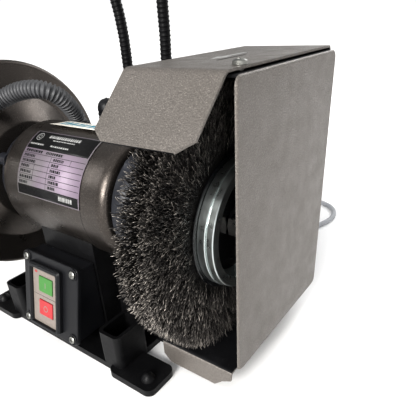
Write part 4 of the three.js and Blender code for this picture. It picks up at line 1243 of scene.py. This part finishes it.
def guard_edges(total):
    """How wide the guard's strip is along its length, with the corners of its hood and lip cut off."""
    left, right = GUARD["x0"], GUARD["x1"]
    stops = [(0, left + 12, right - 13), (9, left, right - 2.4), (11, left, right),
             (total - 34, left + 1, right), (total - 24, left + 6, right - 0.6),
             (total - 15, left + 6, right - 1.5), (total - 9, left + 6, right - 12),
             (total, left + 15, right - 21.5)]
    at, low, high = zip(*stops)
    return lambda s: (float(np.interp(s, at, low)), float(np.interp(s, at, high)))


def blacken_inside(body):
    """Gives the guard's inner faces a near-black finish, and the side panel's front edge the same near-black
    as painted shade.
    """
    g = GUARD
    middle = Vector((173, 30, AXIS_H))
    for face in body.data.polygons:
        at = face.center / MM
        under_hood = at.y < g["y0"] - 2 and at.z > 200
        inward = face.normal.z < -0.2 if under_hood else face.normal.dot(middle - at) > 20
        # Painted shade: the side panel's front edge is made near-black, as if lost in shadow.
        panel_edge = at.x < g["x0"] + g["sheet"] and face.normal.y < -0.7 and at.y > LIP["y"]
        panel_inside = face.normal.x > 0.9 and at.x < g["x0"] + 3
        face.material_index = int((inward and abs(face.normal.x) < 0.5) or panel_edge or panel_inside)


def add_guard_body():
    """The guard's strip, folded from the hood over the top and the back to the lip, and its side panel."""
    g = GUARD
    half = g["sheet"] / 2
    top, floor, rear = g["z1"] - half, g["z0"] + half, g["y1"] - half
    slope = math.radians(HOOD["slope"])
    fold = g["y0"] - 0.5
    end = (fold - HOOD["length"] * math.cos(slope), top - HOOD["length"] * math.sin(slope))
    corners = [end, (fold, top), (rear, top), (rear, floor), (LIP["y"], floor), (LIP["y"], LIP["foot"])]
    path = filleted(corners, (HOOD["bend"], REAR_BEND, REAR_BEND, LIP["bend"]))
    path = [p.xy for p in resampled([Vector((*p, 0)) for p in path], 1.0)]
    total = sum((b - a).length for a, b in zip(path, path[1:]))
    strip = folded_sheet(path, g["sheet"], guard_edges(total))
    panel = pierced_panel(g["y0"], g["y1"] - 1, g["z0"] + 1, g["z1"] - 1, PANEL_HOLE, g["x0"],
                          g["x0"] + g["sheet"])
    blacken_inside(piece("guard_body_detail", [strip, panel], ["guard", "inside"],
                         replaces=["brush_guard_body"]))


def add_guard_cover():
    """Side cover: a plate with rounded corners and edges, and flanges that lie under the guard's sheet."""
    front, rear = COVER["y"]
    low, high = COVER["z"]
    inner, outer = COVER["x"]
    start, end = outer - COVER["flange"], inner + 0.6
    outline = rounded_rect(front, rear, low, high, COVER["corner"])
    shapes = [(moved(soft_slab(outline, inner, outer, 2.2, 6), ACROSS), 0),
              (block((start, front + 6, high - 2.4), (end, rear - 5, high - 0.3)), 1),
              (block((start, rear - 2.3, low + 6), (end, rear - 0.2, high - 7)), 1)]
    piece("guard_cover_detail", shapes, ["guard", "inside"], replaces=["brush_guard_cover"], bevel=0.3,
          bevel_from=40)


def add_guard_screws():
    """The two screws that hold the cover: one in the guard's top and one in its back."""
    radius, height = GUARD_SCREW["r"], GUARD_SCREW["height"]
    shank = [(-8.5, 0), (-8.5, 2.2), (-7.5, 2.7), (0.2, 2.7), (0.2, 0)]
    for node, out in (("guard_screw_top", (0, 0, 1)), ("guard_screw_rear", (0, 1, 0))):
        low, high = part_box(node)
        middle = (low + high) / 2 / MM
        seat = middle + Vector(out) * ((high - low).dot(Vector(out)) / 2 / MM - height)
        shapes = [facing(pan_head(radius, height), out, seat), facing(upright(turned(shank, 24)), out, seat)]
        piece(node + "_detail", shapes, "zinc", replaces=[node])


def add_direction_sticker():
    """White arrow on the guard's top showing which way the brush turns, with a printed line beside it."""
    z = GUARD["z1"]
    x, tip, neck, tail = 168.5, 3, 24, 60
    shaft, head = 2.6, 7.0
    arrow = [(x - shaft, neck), (x - shaft, tail), (x + shaft, tail), (x + shaft, neck), (x + head, neck),
             (x, tip), (x - head, neck)]
    shapes = [(prism(arrow, z, z + 0.25), 0), (block((177.4, -1, z), (179.4, 42, z + 0.2)), 1)]
    piece("direction_sticker", shapes, ["white", "ink"])


# ---------- start and stop station ----------
def station():
    """Frame of the start and stop station: x across, y up its face from the top edge, z out of it."""
    return Matrix.Translation(STATION["at"]) @ Matrix.Rotation(math.radians(90 - STATION["lean"]), 4, "X")


def add_station():
    """Tilted box with a framed cover, its four screws, the printed film and the two buttons."""
    place = station()
    refined("switch_box", "plastic", 2.0)
    slab = moved(soft_slab(rounded_rect(-49, 49, -95, 0, 6), -5, 0, 1.6), place)
    window = moved(block((-26, -84, -7), (16, -17.5, 2)), place)
    piece("station_cover", [slab], "plastic", replaces=["switch_cover"], bevel=0.35, cutters=[window])
    outer = rounded_rect(-33, 24, -87, -9.5, 3)
    inner = rounded_rect(-27, 17, -85, -16.5, 2)
    frames = [moved(picture_frame(outer, inner, -0.5, 6.5, 2.2), place)]
    for u, v in STATION_SCREWS:
        rim = picture_frame(ring_outline(u, v, 7.2), ring_outline(u, v, 5.4), -0.5, 1.4, 0.6)
        frames.append(moved(rim, place))
    piece("station_frame", frames, "plastic", bevel=0.35)
    add_film(place)
    for k, (u, v) in enumerate(STATION_SCREWS, 1):
        screw = moved(pan_head(4.4, 2.9), place @ Matrix.Translation((u, v, 0.2)))
        piece(f"switch_screw_{k}_detail", [screw], "zinc", replaces=[f"switch_screw_{k}"])
    for node, finish in (("start_button", "green"), ("stop_button", "red")):
        add_button(node, finish, BUTTON_V[node], place)


def add_film(place):
    """Printed film with a hole for each button, a small red mark at its top left corner and a line."""
    film = soft_slab(rounded_rect(-27.2, 17.2, -85.2, -16.3, 1.4), -0.6, 3.0, 0.5)
    across, up = HOLE_HALF
    holes = [moved(block((BUTTON_U - across, v - up, -2), (BUTTON_U + across, v + up, 5)), place)
             for v in BUTTON_V.values()]
    piece("station_film", [moved(film, place)], "film", replaces=["switch_panel"], cutters=holes)
    mark = prism([(-24, -20.2), (-21.2, -18.8), (-18.6, -19.8), (-18.8, -21.4), (-22, -22)], 2.9, 3.12)
    line = prism([(-25.5, -48.9), (15.5, -48.9), (15.5, -48.5), (-25.5, -48.5)], 2.9, 3.1)
    piece("station_print", [(moved(mark, place), 0), (moved(line, place), 1)], ["red", "inside"])


def add_button(node, finish, v, place):
    """A square push button in the film with a plain sign: a bar to start, a ring to stop."""
    u, low, high = BUTTON_U, 4.1, 4.3
    across, up = BUTTON_HALF
    cap = soft_slab(rounded_rect(u - across, u + across, v - up, v + up, 1.6), -1.5, 4.2, 0.9)
    if node == "start_button":
        x, y = 0.55, 3.4
        sign = prism([(u - x, v - y), (u + x, v - y), (u + x, v + y), (u - x, v + y)], low, high)
    else:
        sign = picture_frame(ring_outline(u, v, 3.9), ring_outline(u, v, 2.9), low, high, 0.04)
    shapes = [(moved(cap, place), 0), (moved(sign, place), 1)]
    piece(node + "_detail", shapes, [finish, "film"], body_of(node), [node], bevel=0.25)


# ---------- base, boxes and glands ----------
def add_base():
    """The cast base, and a domed bolt in each of its feet."""
    refined("base_casting", "cast", 1.9, segments=4)
    for spot in ("front_left", "front_right", "rear_left", "rear_right"):
        node = f"bench_bolt_{spot}"
        x, y, z, top, _ = standing(node)
        foot = z + 1.6
        dome = [(z, 0), (z, 9.4), (z + 1.2, 9.6)]
        dome += [(foot + (top - foot) * math.sin(a), 8.8 * math.cos(a)) for a in np.linspace(0.1, 1.5, 8)]
        dome += [(top, 0)]
        piece(node + "_detail", [upright(turned(dome, 48), x, y)], "cast", replaces=[node])


def add_terminal_box():
    """The box behind the motor, its lid and the lid's four screws."""
    for node in ("terminal_box", "terminal_lid"):
        refined(node, "cast", 1.4)
    low, high = (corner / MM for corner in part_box("terminal_lid"))
    inset = 5.5
    screws = [moved(pan_head(3.2, 2.0), Matrix.Translation((x, y, high.z)))
              for x in (low.x + inset, high.x - inset) for y in (low.y + inset, high.y - inset)]
    piece("terminal_lid_screws", screws, "zinc")


def add_lamp_gland():
    """Domed nut over a knurled gland body on the lamp lead's way into the terminal box."""
    x, y, base, top, r = standing("lamp_gland")
    cap, knurls, depth = top - 15, 24, 0.035
    body = [(base, 0), (base, r - 1.5), (base + 1, r - 0.4), (base + 9, r - 0.4), (base + 10, r - 2.5),
            (base + 12, r - 2.6), (base + 12.5, r - 0.2)]
    for i in range(4):
        z = base + 13 + i * (cap - base - 14) / 4
        body += [(z, r - 0.1), (z + 2.4, r - 0.1), (z + 3.0, r - 0.9), (z + 3.4, r - 0.9)]
    body += [(cap, r - 0.2)]
    body += [(cap + 13.5 * math.sin(a), 0.3 + (r - 0.5) * math.cos(a) ** 0.8)
             for a in np.linspace(0.12, 1.5, 9)]
    body += [(top, 0)]

    def knurl(angle, at):
        return 1 - (depth * (1 + math.cos(knurls * angle)) / 2 if base + 12 < at < cap else 0.0)

    piece("lamp_gland_detail", [upright(turned(body, 144, knurl), x, y)], "plastic", replaces=["lamp_gland"])


def add_conduit():
    """Corrugated hose from the terminal box over the motor to the shield's switch box, and its gland."""
    path = softened(smooth_path(CONDUIT, 3), 6)
    piece("conduit_detail", [ribbed(path, 4.4, 11.0, 8.9, 36)], "hose", replaces=["conduit"], smooth=True)
    x, y, base, top, r = standing("conduit_gland")
    ridges, depth = 20, 0.04
    hexagon = prism(ring_outline(0, 0, r, 6), base, base + 8)
    body = [(base, 0), (base, r - 2.4), (base + 8, r - 2.4), (base + 9, r - 1.0), (top - 1.2, r - 1.0),
            (top - 0.2, r - 2.0), (top - 0.2, 0)]

    def grip(angle, at):
        return 1 - (depth * (1 + math.cos(ridges * angle)) / 2 if at > base + 8.5 else 0.0)

    shapes = [moved(hexagon, Matrix.Translation((x, y, 0))), upright(turned(body, 120, grip), x, y)]
    piece("conduit_gland_detail", shapes, "plastic", replaces=["conduit_gland"], bevel=0.3)


# ---------- work lamps ----------
def add_neck(side):
    """Gooseneck of wound strip, from a screwed ferrule to the ball that its lamp turns on."""
    neck = NECKS[side]
    x, y, _ = neck[0]
    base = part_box(f"gooseneck_{side}")[0].z / MM
    coil = ribbed(smooth_path(neck, 3), 4.6, 6.5, 5.9, 28)
    ferrule = [(base, 0), (base, 11.4), (base + 1, 12), (base + 7, 12), (base + 8, 10.4), (base + 9.5, 10.2),
               (base + 10.2, 11.0), (base + 15, 10.2), (base + 16, 8.8), (base + 17, 8.6), (base + 17, 0)]

    def flats(angle, at):
        sixth = math.pi / 3
        return math.cos(sixth / 2) / math.cos(angle % sixth - sixth / 2) if at < base + 8 else 1.0

    ball = [(BALL_R * math.sin(a), BALL_R * math.cos(a)) for a in np.linspace(-math.pi / 2, math.pi / 2, 17)]
    ball[0], ball[-1] = (-BALL_R, 0), (BALL_R, 0)
    shapes = [coil, upright(turned(ferrule, 120, flats), x, y),
              moved(turned(ball, 40), Matrix.Translation(neck[-1]))]
    piece(f"gooseneck_{side}_detail", shapes, "neck", f"lamp_arm_{side}", [f"gooseneck_{side}"])


def add_lamp_head(side):
    """Turned shade with cooling ribs, and its frosted diffuser."""
    shade = [(8.6, 0), (8.6, 8.4), (9.2, 9), (16, 9.2), (17, 11), (18.5, 13), (20, 14), (21, 20), (23, 21.2)]
    for i in range(5):
        x, grow = 25 + i * 3.2, i * 0.5
        shade += [(x, 21.4 + grow), (x + 1.4, 21.5 + grow), (x + 1.9, 20.4 + grow), (x + 2.9, 20.4 + grow)]
    shade += [(43, 23.4), (57, 25), (59, 25), (61.4, 24.6), (62, 23.8), (62, 22.6), (60.4, 21.6),
              (59.9, 18.2), (59.9, 0)]
    lens = [(59.5, 0), (59.5, 21.3), (60.8, 21.3), (61.5, 14), (61.8, 0)]
    shapes = [(facing(upright(turned(profile, sides)), AIMS[side], NECKS[side][-1]), finish)
              for finish, (profile, sides) in enumerate(((shade, 80), (lens, 60)))]
    node = f"lamp_head_{side}"
    piece(node + "_detail", shapes, ["neck", "diffuser"], node, [node])


# ---------- grinding side ----------
def mouth():
    """The guard's open front, as a shape to cut out of it."""
    low, high = SHELL["mouth_z"]
    return block((SHELL["outer"] - 9, -SHELL["r"] - 9, low), (SHELL["inner"] + 4, SHELL["mouth_y"], high))


def add_wheel_guard():
    """Spun guard round the wheel with a rolled rim and a cone to the motor, and its flat outer cover."""
    r, sheet, inner, outer, hub, roll = (SHELL[k] for k in ("r", "sheet", "inner", "outer", "hub", "roll"))
    rim, steps = outer + sheet + 0.3, 7
    quarter = np.linspace(0, math.pi / 2, steps)
    outside, inside = ([(inner - roll + k * math.sin(a), r - roll + k * math.cos(a)) for a in quarter]
                       for k in (roll, roll - sheet))
    profile = [(rim, r), *outside, (inner, 98), (inner + 0.6, 95), (hub - 1.2, 65), (hub, 62), (hub, 24),
               (hub - sheet, 24), (hub - sheet, 60), (inner - sheet + 0.8, 92), (inner - sheet, 94),
               *inside[::-1], (rim, r - sheet), (rim, r)]
    piece("wheel_guard_detail", [spun(profile, 144)], "hammered", replaces=["wheel_guard_body"], bevel=0.4,
          cutters=[mouth()])
    disc = [(outer, 0), (outer, r - 0.8), (outer + 0.8, r), (outer + sheet, r), (outer + sheet, 0)]
    piece("wheel_cover_detail", [spun(disc, 144)], "hammered", replaces=["wheel_guard_cover"], bevel=0.3,
          cutters=[mouth()])
    add_wheel_guard_screws()
    add_deflector_clamp()


def add_deflector_clamp():
    """Tab on the guard behind the spark deflector, with the two screws that pass through its slots."""
    lean = Matrix.Translation(DEFLECTOR["at"]) @ Matrix.Rotation(math.radians(-DEFLECTOR["lean"]), 4, "X")
    tab = block((-203, 0.3, 3.5), (-159, 3.5, 21))
    piece("deflector_tab", [moved(tab, lean)], "hammered", bevel=0.6)
    front = lean.to_3x3() @ Vector((0, -1, 0))
    screws = [facing(pan_head(4.8, 3.0), front, lean @ Vector((x, -2.1, 7))) for x in DEFLECTOR["screws"]]
    piece("deflector_screws", screws, "zinc")


def add_wheel_guard_screws():
    """Screws round the rim of the wheel guard's cover."""
    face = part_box("wheel_guard_cover")[0].x / MM
    screws = [facing(pan_head(4.4, 2.6), (-1, 0, 0), (face, *around(COVER_SCREWS["r"], angle)))
              for angle in COVER_SCREWS["angles"]]
    piece("wheel_cover_screws", screws, "zinc")


def add_tool_rest():
    """The rest's bracket and table, and a lobed knob."""
    for node in ("tool_rest_bracket", "tool_rest_table"):
        refined(node, "cast", 0.8)
    x, y, z, _, _ = standing("tool_rest_knob")
    grip = [(z, 0), (z, 9), (z + 1, 13.5), (z + 3, 15), (z + 7, 15), (z + 9, 13.8), (z + 10, 9),
            (z + 10.5, 8), (z + 18, 8), (z + 18.2, 7.6), (z + 18.2, 0)]
    count, depth = 6, 0.07

    def lobes(angle, at):
        return 1 - depth * (1 + math.cos(count * angle)) if at < z + 9.5 else 1.0

    piece("tool_rest_knob_detail", [upright(turned(grip, 96, lobes), x, y)], "plastic",
          body_of("tool_rest_knob"), ["tool_rest_knob"])


def add_eye_shield():
    """Clear pane held by two screws in a carrier, which turns on the arm's pin, and the arm's switch box."""
    s = SHIELD
    tilt = Matrix.Rotation(math.radians(s["tilt"]), 4, "X")
    place = Matrix.Translation((0, s["y"], s["z"])) @ tilt
    x0, x1, half, body = s["x0"], s["x1"], s["half"], body_of("eye_shield")
    pane = block((x0, -s["drop"], -half), (x1, -9, half))
    piece("eye_shield_detail", [moved(pane, place)], "pane", body, ["eye_shield"], bevel=0.6)
    end, bore, r = x1 - 1.5, 4.5, 8
    sleeve = turned([(x0, bore), (x0, r), (end, r), (end, bore), (x0, bore)], 48)
    jaws = [block((x0, -24, z), (x1, -6.5, z + 1.3)) for z in (-3.4, 2.1)]
    screws = [moved(pan_head(3.2, 2.0), Matrix.Translation((x, -16, 3.4))) for x in (x0 + 12, x1 - 12)]
    shapes = [(moved(shape, place), 0) for shape in (sleeve, *jaws)]
    shapes += [(moved(screw, place), 1) for screw in screws]
    piece("shield_carrier", shapes, ["cast", "zinc"], body, bevel=0.3)
    refined("eye_shield_arm", "steel", 0.6)
    refined("spark_deflector", "hammered", 0.4)
    refined("shield_switch_box", "plastic", 1.4)


def add_inner_parts():
    """Materials for what the housings hide: the motor's windings and core, its bearings and the switch."""
    inner = {"stator_core": "steel", "stator_windings": "copper", "rotor": "steel", "bearing_left": "steel",
             "bearing_right": "steel", "run_capacitor": "plastic", "switch_block": "plastic"}
    for node, finish in inner.items():
        obj = frame["nodes"][node]
        for slot in obj.material_slots:
            slot.material = FINISH[finish]


add_camera()
add_studio()
add_mains_lead()
add_motor_tube()
for bell_side, bell_sign in (("left", -1), ("right", 1)):
    add_end_bell(bell_side, bell_sign)
add_nameplate()
add_paper_label()
add_brush()
add_hub()
add_shaft()
add_wheel()
add_guard_body()
add_guard_cover()
add_guard_screws()
add_direction_sticker()
add_station()
add_base()
add_mains_gland()
add_terminal_box()
add_lamp_gland()
add_conduit()
for lamp_side in NECKS:
    add_neck(lamp_side)
    add_lamp_head(lamp_side)
add_wheel_guard()
add_tool_rest()
add_eye_shield()
add_inner_parts()
